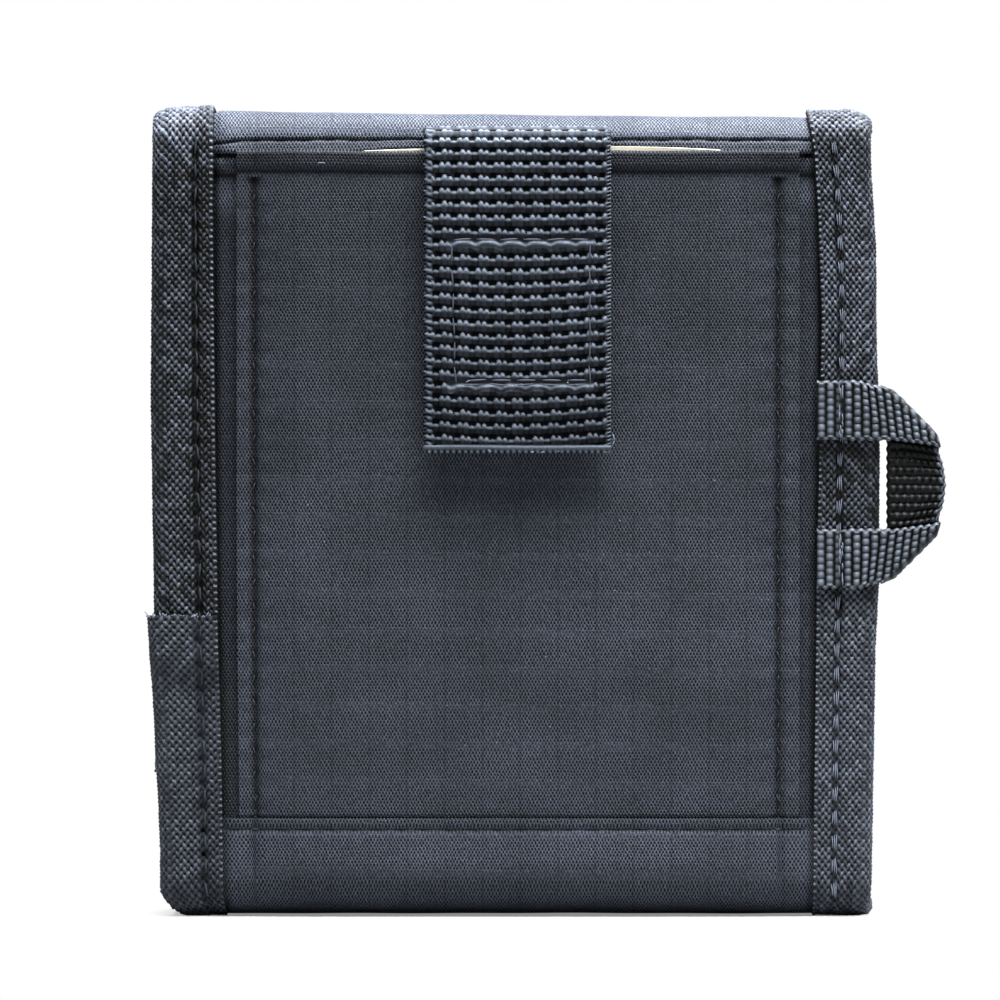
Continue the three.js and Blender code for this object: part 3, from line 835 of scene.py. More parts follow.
class POUCH_OT_stage(bpy.types.Operator):
    """Floor, backdrop, lights, world and camera"""
    bl_idname = "pouch.stage"
    bl_label = "Stage"

    def execute(self, context):
        scene = context.scene
        scene.view_settings.view_transform = "Standard"
        deselect()
        bpy.ops.mesh.primitive_grid_add(x_subdivisions=2, y_subdivisions=2, size=1)
        floor = named("floor")
        floor.scale = (8, 8, 1)
        bpy.ops.object.transform_apply(location=False, rotation=False, scale=True)
        self.floor_material(floor)
        self.world(scene)
        cool = (0.97, 0.985, 1.0)
        self.lamp("top softbox", (0.22, -0.14, 1.42), (0, -0.05, 0.05), (1.2, 0.95), 185.0, cool)
        self.lamp("front fill", (0.45, -1.3, 0.05), (0, 0, 0.05), (0.7, 0.4), 1.25, (1, 1, 1))

        distance = 1.2
        width_seen = 0.13333
        data = bpy.data.cameras.new("camera")
        camera = bpy.data.objects.new("camera", data)
        scene.collection.objects.link(camera)
        data.sensor_width = 36
        data.lens = data.sensor_width * distance / width_seen
        data.clip_start = 0.01
        camera.location = (-0.00588, -0.01175 - distance, 0.0556)
        camera.rotation_euler = (math.radians(90), 0, 0)
        scene.camera = camera
        return {"FINISHED"}

    def floor_material(self, floor):
        """A soft shadow near the pouch, pure white further off, and a dull floor for all but the camera."""
        material = bpy.data.materials.new("floor")
        tree = emptied(material)
        moved = node(tree, "VectorMath", {0: own_place(tree), 1: (0.004, 0, 0)}, operation="ADD")
        far_off = node(tree, "VectorMath", {0: moved.outputs[0]}, operation="LENGTH").outputs["Value"]
        near_by = node(tree, "BsdfPrincipled", {
            "Base Color": (0.42, 0.43, 0.445, 1), "Roughness": 0.9, "Specular IOR Level": 0.0})
        glow = node(tree, "Emission", {"Color": (1, 1, 1, 1)})
        dull = node(tree, "BsdfPrincipled", {
            "Base Color": spread(tree, far_off, 0.08, 0.25, 0.24, 0.06), "Roughness": 0.9})
        seen = node(tree, "MixShader", {
            0: spread(tree, far_off, 0.0435, 0.0495, 0.27, 1.0), 1: near_by.outputs[0], 2: glow.outputs[0]})
        both = node(tree, "MixShader", {
            0: node(tree, "LightPath").outputs["Is Camera Ray"], 1: dull.outputs[0], 2: seen.outputs[0]})
        node(tree, "OutputMaterial", {"Surface": both.outputs[0]})
        floor.data.materials.append(material)

    def world(self, scene):
        """White where it is seen or mirrored, and a weak soft light elsewhere."""
        scene.world = bpy.data.worlds.new("studio")
        tree = emptied(scene.world)
        ray = node(tree, "LightPath").outputs
        seen = calc(tree, "ADD", ray["Is Camera Ray"], ray["Is Transmission Ray"])
        seen = calc(tree, "ADD", seen, ray["Is Glossy Ray"], clamp=True)
        soft = node(tree, "Background", {"Color": (0.93, 0.96, 1.0, 1), "Strength": 0.05})
        white = node(tree, "Background", {"Color": (1, 1, 1, 1), "Strength": 1.0})
        mix = node(tree, "MixShader", {0: seen, 1: soft.outputs[0], 2: white.outputs[0]})
        node(tree, "OutputWorld", {"Surface": mix.outputs[0]})

    def lamp(self, name, place, aim, size, power, colour):
        data = bpy.data.lights.new(name, "AREA")
        data.shape = "RECTANGLE"
        data.size, data.size_y = size
        data.energy = power
        data.color = colour
        made = bpy.data.objects.new(name, data)
        bpy.context.scene.collection.objects.link(made)
        made.location = place
        made.rotation_euler = (Vector(aim) - Vector(place)).to_track_quat("-Z", "Y").to_euler()


class POUCH_OT_walls(bpy.types.Operator):
    """Body wrap with its bottom band, gussets and padded lining"""
    bl_idname = "pouch.walls"
    bl_label = "Walls"

    def execute(self, context):
        line = body_line(BAND_TOP - 0.1, 101.6)
        x = np.linspace(CLOTH_LEFT + 0.2, CLOTH_RIGHT - 0.2, 160)
        y, z, ny, nz, run = line.rows(steps(0, (4, 0.25), (24, 0.5), (line.whole, 1.2)))
        seam = run - 1.45
        holes = waves(x, look().stitch)
        near = smooth((-y - 4) / 5)
        band = 0.5 + panel_height(x, 13.0 + 0 * x)
        h = near * (band + (0.05 - band) * smooth((run - 5.5) / 8)) + 0.12 * (1 - smooth((run - 0.9) / 0.9))
        h = h - bell(seam, 0.42) * (0.3 + 0.35 * holes ** 3) + 0.1 * near * wander(x * 1.4, run * 1.2)
        h = h * smooth((x + 43.1) / 1.9) * smooth((35.8 - x) / 1.9) - under_tape(x)
        # Painted shade beside the tapes and in the band seam's holes, and painted light across the near face
        dark = np.maximum(tape_gap_shade(x, z), 0.75 * bell(seam, 0.25) * (0.3 + 0.7 * holes ** 2))
        obj = cloth("body_cloth", x, y + ny * h, z + nz * h, x, -run, (0, -1, -1), 0.5, "ripstop cloth",
                    "shell", ("body_wrap",), dark=near * dark - 0.12 * near)

        for name, gusset, outer, way in (("left_side", "left_gusset", -44.15, 1),
                                         ("right_side", "right_gusset", 35.85, -1)):
            y = np.linspace(LINING_NEAR, LINING_FAR, 40)[None, :]
            share = np.linspace(0, 1, 90)[:, None]
            corner = np.clip(4 - np.minimum(y - LINING_NEAR, LINING_FAR - y), 0, 4)
            low = 1.3 + 4 - np.sqrt(16 - corner ** 2)
            z = low + share * (101.5 - low)
            slack = np.sin(math.pi * (y - LINING_NEAR) / 19.9) * np.sin(math.pi * share) ** 0.6
            x = outer + way * (0.5 * slack + 0.06 * wander(y * 2, z))
            obj = cloth(name, x, y, z, y, z, (-way, 0, 0), 0.45, "ripstop cloth", "shell",
                        (gusset,))

        line = SideLine(
            ((LINING_NEAR, 102.9), (LINING_NEAR, 5.3), (1, 0)), ((-5.4, 5.3), 4.0, 180, 270),
            ((-5.4, 1.3), (6.5, 1.3), (0, -1)), ((6.5, 5.3), 4.0, 270, 360),
            ((LINING_FAR, 5.3), (LINING_FAR, 101.5), (1, 0)))
        y, z, _, _, run = line.rows(steps(0, (line.whole, 1.3)))
        x = np.linspace(-43.2, 34.9, 70)[None, :]
        obj = cloth("padded_lining", x, y, z, x, run, (0, 0, -1), 1.85, "lining cloth", "shell",
                    ("body_lining", "body_foam"))
        return {"FINISHED"}


def panel_height(x, z):
    """How far the front panel's face stands off the belt wall, at a place in the front view."""
    stitch = look().stitch
    side = np.minimum(x - PANEL_LEFT, PANEL_RIGHT - x)
    height = (0.95 + 1.55 * smooth((side - 1.0) / 9.0)) * (0.42 + 0.58 * smooth((z - 11) / 26))
    for seam in PANEL_SEAMS:
        height = height - bell(x - seam, 0.75) * (0.4 + 0.3 * waves(z, stitch, 3)) * (z < 98.5)
        height = height + 0.09 * np.cos(TURN * z / stitch) * bell(x - seam, 2.2)
    hem = z - 99.4
    height = height - 0.35 * np.where(hem > 0, bell(hem, 0.35), bell(hem, 2.4))
    height = height + 0.12 * smooth((hem - 0.4) / 0.5)
    return height + 0.16 * wander(x * 0.7, z * 0.6, 0.5) * smooth(side / 6)


class POUCH_OT_pocket(bpy.types.Operator):
    """The slot pocket: the panel behind it, the panel in front and the stiffener's edge"""
    bl_idname = "pouch.pocket"
    bl_label = "Slot pocket"

    def execute(self, context):
        x = steps(CLOTH_LEFT, (-38, 0.5), (31, 2.0), (CLOTH_RIGHT, 0.5))
        z = steps(9, (96, 0.8), (101.25, 0.2))[:, None]
        hem = z - 98.9
        h = -0.4 * np.where(hem > 0, bell(hem, 0.4), bell(hem, 2.4)) + 0.1 * smooth((hem - 0.5) / 0.6)
        h = h + 0.05 * wander(x, z, 2.0) - under_tape(x)
        # Painted shade on the strips beside the front panel's edges and at the hem's fold, painted light
        # along the slot and on the panel's top edge, and shade beside the tapes
        dark = 0.6 * smooth((PANEL_LEFT + 1 - x) / 0.6) + 0.36 * smooth((x - PANEL_RIGHT + 1) / 0.6)
        dark = dark - 0.8 * bell(z - 96.3, 2.0) - 0.25 * (z > 99.2) + 0.5 * bell(hem, 0.3)
        dark = dark - 1.3 * smooth((z - 100.3) / 0.4)
        obj = cloth("rear_panel", x, NEAR - h, z, x, z, (0, -1, 0), 1.4, "ripstop cloth", "shell",
                    ("rear_pocket_panel", "back_panel"), dark=1 - (1 - dark) * (1 - tape_gap_shade(x, z)))

        x = steps(PANEL_LEFT, (-36, 0.28), (29, 0.75), (PANEL_RIGHT, 0.28))[None, :]
        z = steps(PANEL_LOW, (97.5, 0.4), (PANEL_TOP, 0.18))[:, None]
        h = panel_height(x, z) - 0.25 * smooth((z - PANEL_TOP + 0.35) / 0.35)
        dip = -0.22 * bell(x + 20, 7) - 0.15 * bell(x - 15, 8)
        leaned = x + 0.7 * smooth((-36 - x) / 4) * smooth((60 - z) / 90)
        # Painted shade in the seam grooves, on the top hem and its stitch line, and as the band's shadow
        # along the foot
        dark = np.maximum(bell(x - PANEL_SEAMS[0], 0.5), bell(x - PANEL_SEAMS[1], 0.45)) * (z < 98.8)
        dark = dark * (0.9 + 0.1 * np.cos(TURN * z / look().stitch))
        for line in (0.35 * smooth((z - 99.8) / 0.5), 0.75 * bell(z - 99.4, 0.3),
                     0.95 * (1 - smooth((z - 13.35) / 0.4))):
            dark = np.maximum(dark, line)
        # Painted shade that grows towards the panel's top
        dark = 1 - (1 - dark) * (1 - 0.0041 * np.clip(z - 22, 0, 80))
        obj = cloth("front_panel", leaned, NEAR - h, z + dip * smooth((z - 96) / 6), x, z, (0, -1, 0), 0.6,
                    "ripstop cloth", "shell", ("front_pocket_panel",), dark=dark)

        x = np.linspace(-31.3, 24.5, 120)[None, :]
        reach = np.abs(x + 1.7) / 26.1
        high = 102.75 - 0.62 * reach ** 3 - 0.28 * smooth((-10 - x) / 4)
        z = 15 + np.linspace(0, 1, 30)[:, None] * (high - 15)
        y = NEAR - np.minimum(1.8, panel_height(x, z) - 0.75) + 0.03 * wander(x, z)
        cloth("stiffener_sheet", x, y, z, x, z, (0, -1, 0), 0.38, "cream sheet", "shell",
              ("pocket_stiffener",), angle=30)
        return {"FINISHED"}


class POUCH_OT_cover(bpy.types.Operator):
    """Ripstop from the top band over the lid and down the flap, with its padded lining"""
    bl_idname = "pouch.cover"
    bl_label = "Lid and flap cloth"

    def execute(self, context):
        x = np.linspace(CLOTH_LEFT + 0.1, CLOTH_RIGHT - 0.1, 150)
        line = cover_line(HEM_LOW)
        middle = lid_share(line)
        y, z, ny, nz, run = line.rows(steps(0, (3, 0.16), (middle, 0.4)))
        seam = run - 1.45 - 0.35 * smooth((x + 43.5) / 3) - 0.12 * wander(x * 2.1, 0 * x, 1.0)
        clear = 1 - 0.9 * smooth((x + 19) / 3) * smooth((12 - x) / 3)
        clear = clear * smooth((x + 43.8) / 1.8) * smooth((36.4 - x) / 1.8)
        h = (0.5 * np.clip(1 - run / 7, 0, 1) + 0.3 * np.clip(1 - run / 1.6, 0, 1)) * clear
        h = h - bell(seam, 0.2) * (0.3 + 0.25 * waves(x, look().stitch, 3))
        h = h + 0.12 * wander(x * 1.2, run * 3) * (1 - smooth((run - 10) / 6))
        h = h - 0.3 * (1 - smooth(run / 0.25)) - nz * crest_drop(x) - under_tape(x)
        lift = 0.6 * smooth((x + 27) / 9) * (x < -14) * (1 - smooth(run / 2.5))
        # Painted shade in the seam and beside the tapes, and painted light on the top band, which faces the
        # lamp
        dark = np.maximum(0.8 * bell(seam, 0.15), (1 - smooth((run - 4) / 3)) * 0.4 * tape_gap_shade(x, z))
        dark = dark - (0.1 + 0.7 * smooth((run - 1.2) / 1)) * (1 - smooth((run - 8) / 7))
        obj = cloth("top_cloth_near", x, y + ny * h, z + nz * h + lift, x, run, (0, -1, 1), 0.6,
                    "ripstop cloth", None, ("top_band", "lid_panel"), dark=dark)
        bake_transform(obj)

        y, z, ny, nz, run = line.rows(steps(middle, (middle + 18, 0.5), (line.whole, 1.0)))
        h = 0.2 * wander(x * 0.8, run * 0.7, 3.0) * smooth((run - middle) / 14) - nz * crest_drop(x)
        obj = cloth("top_cloth_far", x, y + ny * h, z + nz * h, x, run, (0, 1, 1), 0.5, "ripstop cloth", None,
                    ("lid_panel", "flap_panel"))
        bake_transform(obj)

        inset = 0.55
        near, far, top = NEAR + CREST, FLAP_FACE - CREST, CREST_Z + CREST - inset
        lid = (((near, CREST_Z), CREST - inset, 132, 90), ((near, top), (far, top), (0, 1)),
               ((far, CREST_Z), CREST - inset, 90, 48))
        flap = (((far, CREST_Z), CREST - inset, 42, 0),
                ((FLAP_FACE - inset, CREST_Z), (FLAP_FACE - inset, 19.5), (1, 0)))
        for body, parts in (("lid", lid), ("flap", flap)):
            line = SideLine(*parts)
            y, z, ny, nz, run = line.rows(steps(0, (line.whole, 0.8)))
            x = np.linspace(CLOTH_LEFT + 0.4, CLOTH_RIGHT - 0.4, 90)[None, :]
            fall = nz * crest_drop(x)
            obj = cloth(f"{body}_pad", x, y - ny * fall, z - nz * fall, x, run, (0, 1, 1), 1.3,
                        "lining cloth", body, (f"{body}_foam", f"{body}_lining"))
        return {"FINISHED"}


class POUCH_OT_bindings(bpy.types.Operator):
    """Tape round both side edges, in its lengths"""
    bl_idname = "pouch.bindings"
    bl_label = "Side bindings"

    def execute(self, context):
        fine = look().braid_pitch / 5

        # Painted light where the left upper tape turns over the crest towards the lamp
        def crest_painted_light(z):
            return 0.88 + 0.52 * smooth((z - 98) / 4), 0.0

        # Painted shade on the left lower tape, as on the side turned from the lamp: its painted light and
        # shade turned down and flattened by a raised floor
        def left_painted_shading(z):
            return 0.36 + 0 * z, 0.15

        # Painted shadow of the loop between its legs, and flatter painted light and shade low down
        def right_painted_shading(z):
            low = smooth((44 - z) / 14)
            return 1 - 0.32 * smooth((z - 51) / 2) * smooth((64.5 - z) / 2) - 0.38 * low, 0.13 * low

        def lap_lift(y, z, a):
            return 0.95 * smooth((z - 30) / 5) * (y < 0)

        # inner 0.6 paints the left upper tape with shade, as on the side turned from the lamp, and less light
        # still inside its stitches
        for name, start, edges, side, stitch, crest, look_of, nodes in (
                ("left_upper_tape", 34.7, left_edges, -1, LEFT_STITCH, left_crest,
                 {"inner": 0.6, "painted_light_gain": crest_painted_light}, ("left_binding_upper", "lid_binding_left")),
                ("right_upper_tape", JOIN, right_edges, 1, RIGHT_STITCH, right_crest, {},
                 ("lid_binding_right",))):
            line = cover_line(start)
            rows = steps(0, (lid_share(line), fine))
            obj = side_tape(name, line, rows, edges, side, stitch, (2.0, 1.9), crest, **look_of)
            dress(obj, "binding tape", None, nodes)
            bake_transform(obj)

        for name, top, edges, side, stitch, lift, look_of, binding in (
                ("left_lower_tape", LAP_TOP, lap_edges, -1, LEFT_STITCH, lap_lift,
                 {"inner": 0.8, "painted_light_gain": left_painted_shading}, "left_binding_lower"),
                ("right_lower_tape", JOIN + 0.2, right_edges, 1, RIGHT_STITCH, None, {"painted_light_gain": right_painted_shading},
                 "right_binding")):
            line = body_line(top, 102.4)
            rows = steps(0, (top, fine), (line.whole, 0.26))
            obj = side_tape(name, line, rows, edges, side, stitch, (2.0, 1.0), lift, **look_of)
            dress(obj, "binding tape", "shell", (binding,))
        return {"FINISHED"}


class POUCH_OT_flap_binding(bpy.types.Operator):
    """Tape on the flap's three free edges, mitred at its lower corners, and over the wall at the mouth"""
    bl_idname = "pouch.flap_binding"
    bl_label = "Flap and mouth bindings"

    def execute(self, context):
        line = cover_line(JOIN, FLAP_LOW)
        rows = steps(lid_share(line), (line.whole, 0.3))
        longer = cover_line(JOIN, 17.0)

        def left(z, y):
            out = smooth((27 - z) / 6) * 0.75
            return LEFT_INNER - out * 0.6, LEFT_OUTER - out

        def right(z, y):
            return RIGHT_INNER + 0 * z, RIGHT_OUTER + 0 * z

        for name, side, edges, crest in (("flap_tape_left", -1, left, left_crest),
                                         ("flap_tape_right", 1, right, right_crest)):
            obj = side_tape(name, longer, rows, edges, side, FAR_STITCH, (1.9, 1.9), crest, mitre=(0.0, 1.0))
            dress(obj, "binding tape", None, ("flap_binding",))
            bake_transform(obj)

        def low_edge(a, h, along):
            return np.stack([along, FLAP_FACE + h, FLAP_LOW - a], 2)

        def mouth(a, h, along):
            return np.stack([along, FAR + h, MOUTH_LOW + a], 2)

        for name, place, start, end, inside, mitre, body, binding in (
                ("flap_tape_low", low_edge, LEFT_INNER - 0.55, RIGHT_INNER, 1.9, (1.0, 1.0), "flap",
                 "flap_binding"),
                ("mouth_tape", mouth, -43.3, 35.0, 2.4, (0.0, 0.0), "shell", "mouth_binding")):
            rows = steps(start, (end, 0.3))
            count = np.ones(len(rows))
            obj = tape_tube(name, place, rows, TAPE_FACE * count, inside * count, FAR_STITCH, mitre)
            dress(obj, "binding tape", body, (binding,))
        return {"FINISHED"}


class POUCH_OT_tab(bpy.types.Operator):
    """Ribbed webbing tab that comes up out of the slot, folds over and hangs down"""
    bl_idname = "pouch.tab"
    bl_label = "Webbing tab"

    def execute(self, context):
        width = TAB_RIGHT - TAB_LEFT
        face = TAB_FOLD[0] - TAB_RADIUS
        line = SideLine((TAB_FOLD, TAB_RADIUS, TAB_ROOT_TURN, 180),
                        ((face, TAB_FOLD[1]), (face, TAB_END), (-1, 0)))
        straight_from = TAB_RADIUS * math.radians(180 - TAB_ROOT_TURN)

        def along_line(line):
            def place(a, h, along):
                y, z, ny, nz = line.at(along)
                return np.stack([TAB_LEFT + a, y + ny * h, z + nz * h], 2)
            return place

        def relief(a, along, nh):
            _, z, _, _ = line.at(along)
            sag = smooth((along - 8) / 22) * (0.65 * np.sin(math.pi * a / width) + 0.25 * (1 - a / width))
            outer = along + TAB_THICK / 2 / TAB_RADIUS * np.minimum(along - straight_from, 0)
            height, light = ribs(a, outer - sag + 0.05, look().rib_pitch)
            fold = 1 - smooth((along - 3.9) / 2.6)
            height = height * (1 - 0.2 * fold) + 0.15 * fold
            # Painted light on the fold, which faces the lamp; further down, less lightness and a raised floor
            # in the gaps
            light = light * (0.88 + 0.6 * fold) * (1 - 0.012 * np.clip(along - 10, 0, 40))
            light = light + 0.02 + 0.035 * smooth((along - 10) / 30)
            # The stitched box: two rows pressed flat across the ribs, each with a painted highlight along its
            # top, and two lines down them
            inside = (a > BOX_LEFT - 0.5) & (a < BOX_RIGHT + 0.5) & (z > 69.3) & (z < 91.0) & (nh > 0.5)
            stitch = waves(a - BOX_LEFT, 3.3)
            for level, tall in ((89.95, 0.75), (70.9, 0.6)):
                drop = level - z - 0.32 * stitch ** 3 + 0.1 * wander(a * 2, level)
                near = inside * smooth((0.95 - np.abs(drop)) / 0.3)
                flat = tall * (0.35 + 0.65 * smooth((drop + 0.15) / 0.4)) * (1 - 0.6 * stitch ** 6)
                height = over(height, flat, near)
                light = over(light, 0.25 + 0.75 * bell(drop - 0.1, 0.22), near)
            side = np.maximum(bell(a - BOX_LEFT - BOX_LEAN * (BOX_TOP - z), 0.25), bell(a - BOX_RIGHT, 0.25))
            height = height * (1 - 0.5 * (side * inside))
            # The woven edges, and a cord along the left one
            wrap_left = np.exp(-(np.abs(a - 0.75) / 0.42) ** 4) * 0.75
            wrap_right = np.exp(-(np.abs(width - a - 0.3) / 0.4) ** 4)
            dashes = waves(along / 0.85 - 0.3 * a, 1, 1.2)
            dots = waves(along / 0.5 + 0.6 * a, 1, 2)
            height = over(over(height, 0.35 + 0.4 * dashes, wrap_left), 0.4 + 0.35 * dots, wrap_right)
            light = over(over(light, 0.1 + 0.75 * dashes, wrap_left), 0.1 + 0.7 * dots, wrap_right)
            light = over(light, 0.08 + 0.7 * dots ** 3, bell(a - 0.1, 0.25))
            # The cut end: a ridge with the yarns' ends under it
            left = line.whole - along
            ridge = bell(left - 0.85 - 0.1 * wander(a, 0), 0.36)
            end = 1 - smooth((left - 0.95) / 0.3)
            bumps = waves(a, 0.8) * bell(left - 0.2, 0.25)
            height = over(height, 0.3 + 0.55 * ridge + 0.3 * bumps, end)
            return height, over(light, 0.1 + 0.55 * ridge + 0.6 * bumps, end)

        obj = ribbon("tab_webbing", along_line(line), steps(0, (line.whole, 0.125)), width, TAB_THICK, relief,
                     columns=156, depth=look().rib_depth, inside=0.3, back=56)
        dress(obj, "tab webbing", None, ("webbing_tab",))
        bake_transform(obj)

        root = TAB_FOLD[0] + TAB_RADIUS
        root_line = SideLine(((root, 91.3), (root, TAB_FOLD[1]), (1, 0)),
                             (TAB_FOLD, TAB_RADIUS, 0, TAB_ROOT_TURN))

        def root_relief(a, along, nh):
            return ribs(a, along - root_line.whole, look().rib_pitch)

        obj = ribbon("tab_webbing_root", along_line(root_line), steps(0, (root_line.whole, 0.2)), width,
                     TAB_THICK, root_relief, columns=70, depth=0.3, inside=0.5, back=70)
        dress(obj, "tab webbing", "shell", ("tab_root",))
        return {"FINISHED"}


class POUCH_OT_loop(bpy.types.Operator):
    """Lanyard loop: narrow webbing with two legs sewn over the binding and two folds"""
    bl_idname = "pouch.loop"
    bl_label = "Lanyard loop"

    def execute(self, context):
        # The webbing's way has five parts: leg, fold, run, fold, leg. Stage 2.5 is the middle of the run.
        leg = LOOP_FOLD - LOOP_ROOT
        counts = (105, 14, 150, 14, 105)
        rows = np.concatenate([part + np.linspace(0, 1, count, endpoint=False)
                               for part, count in enumerate(counts)] + [[5.0]])
        slant = math.sqrt(0.5)

        def webbing_length(v, stage):
            """The webbing's own length at a stage of its way."""
            part = np.clip(np.floor(stage), 0, 4)
            share = stage - part
            first = leg + v
            run = LOOP_TOP - LOOP_LOW - 2 * v
            return np.select(
                [part == 0, part == 1, part == 2, part == 3],
                [share * first, first + LOOP_TURN * share, first + LOOP_TURN + share * run,
                 first + run + LOOP_TURN * (1 + share)],
                first + run + 2 * LOOP_TURN + share * first)

        def place(v, h, stage):
            part = np.clip(np.floor(stage), 0, 4)
            share = stage - part
            turn = np.select([part == 0, part == 1, part == 2, part == 3],
                             [0 * share, share, 1 + 0 * share, 1 + share], 2 + 0 * share) * math.pi
            fold = LOOP_FOLD + v
            low = LOOP_LOW + v
            high = LOOP_TOP - v
            out = share * (leg + v)
            x = np.select([part == 0, part == 4], [LOOP_ROOT + out, fold - out], fold)
            z = np.select([part <= 1, part == 2], [high, high + share * (low - high)], low)
            up = np.where(stage < 2.5, 1.0, -1.0)
            ends = 0.3 + 0.7 * smooth(v / 1.6) * smooth((LOOP_WIDTH - v) / 1.6)
            reach = 0.6 * np.abs(np.sin(turn)) * slant * ends
            side = h * np.abs(np.sin(turn)) * slant * ends
            x, z = drawn_in(x + reach + side, z + up * (reach + side))
            return np.stack([x, LOOP_FRONT + 0.6 * (1 - np.cos(turn)) - h * np.cos(turn), z], 2)

        def drawn_in(x, z):
            """Squeezes the webbing towards its folds' inner sides and rounds its two outer corners."""
            half = (LOOP_TOP - LOOP_LOW) / 2
            middle = LOOP_LOW + half
            up = np.abs(z - middle)
            depth = (LOOP_FOLD + half + 0.85 - x - up) * slant
            squeeze = 1.25 * np.clip(1 - depth / 5.5, 0, 1.2) * smooth((x - LOOP_ROOT - 4.5) / 4)
            x = x - squeeze * slant
            up = up - squeeze * slant * smooth(up / 4)
            radius = 6.0
            cx = LOOP_FOLD + LOOP_WIDTH - radius
            cu = half - LOOP_WIDTH - 1.15 - radius * math.tan(math.pi / 8)
            dx, du = x - cx, up - cu
            angle = np.arctan2(du, dx)
            edge = radius / np.maximum(np.cos(angle), np.cos(angle - math.pi / 4))
            inside = (angle > 0) & (angle < math.pi / 4)
            share = 1 - (1 - radius / edge) * smooth((np.hypot(dx, du) / edge - 0.2) / 0.8)
            share = np.where(inside, share, 1.0)
            return cx + dx * share, middle + np.sign(z - middle) * (cu + du * share)

        def relief(v, stage, nh):
            part = np.floor(stage)
            along = webbing_length(v, stage)
            height, light = pillows(v, along, LOOP_RIB, 0.98)
            rim = smooth((0.6 - np.minimum(v, LOOP_WIDTH - v)) / 0.25)
            beads = waves(along, LOOP_RIB)
            height = over(height, 0.35 + 0.4 * beads, rim)
            light = over(light, 0.15 + 0.6 * beads, rim)
            on_leg = (part < 1) | (part >= 4)
            out = (stage - part) * (leg + v)
            x = np.where(part >= 4, LOOP_FOLD + v - out, LOOP_ROOT + out)
            sewn = bell(x - LOOP_SEAM, 0.55) * on_leg
            pressed = (1 - smooth((x - 38.6) / 0.6)) * on_leg
            height = height * (1 - 0.9 * sewn) * (1 - 0.35 * pressed)
            # Painted shade in the seam
            light = light * (1 - 0.6 * sewn)
            bent = (part == 1) | (part == 3)
            height = np.where(bent, 0.3 + 0.55 * height, height)
            # Painted shade on the folds, to hold back the lamp's light on them
            light = np.where(bent, 0.6 * light, light)
            # Painted shade on the run, which lies behind the folds
            shaded_run = (part == 2) * smooth((LOOP_WIDTH - v - 0.3) / 1.2)
            return height, light * (1 - 0.8 * shaded_run)

        obj = ribbon("loop_webbing", place, rows, LOOP_WIDTH, LOOP_THICK, relief, columns=50, depth=0.42,
                     inside=1.0, back=50)
        dress(obj, "loop webbing", None,
              ("lanyard_loop", "lanyard_loop_root_upper", "lanyard_loop_root_lower"))
        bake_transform(obj)
        return {"FINISHED"}


class POUCH_OT_patches(bpy.types.Operator):
    """Hook and loop under the tab and under the flap"""
    bl_idname = "pouch.patches"
    bl_label = "Hook and loop"

    def execute(self, context):
        for name, low, high, body, patch in (
                ("tab_hook", (-13.0, -15.4, 70.1), (5.9, -14.5, 89.9), "tab", "tab_hook_patch"),
                ("tab_pile", (-14.0, -14.5, 69.1), (6.9, -13.3, 90.9), "shell", "tab_loop_patch"),
                ("wall_pile", (-29.1, 11.1, 30.5), (20.8, 12.55, 50.5), "shell", "front_loop_patch"),
                ("flap_hook", (-28.1, 12.55, 31.5), (19.8, 14.0, 49.5), "flap", "flap_hook_patch")):
            low, high = np.array(low), np.array(high)
            deselect()
            bpy.ops.mesh.primitive_cube_add(size=1, location=(low + high) / 2 * MM, scale=(high - low) * MM)
            obj = named(name)
            bpy.ops.object.transform_apply(location=True, rotation=False, scale=True)
            edited(obj, (bpy.ops.mesh.subdivide, {"number_cuts": 3}))
            modified(obj, "BEVEL", width=0.35 * MM, segments=2, limit_method="ANGLE")
            smoothed(obj, 40)
            dress(obj, "hook and loop", body, (patch,))
        return {"FINISHED"}


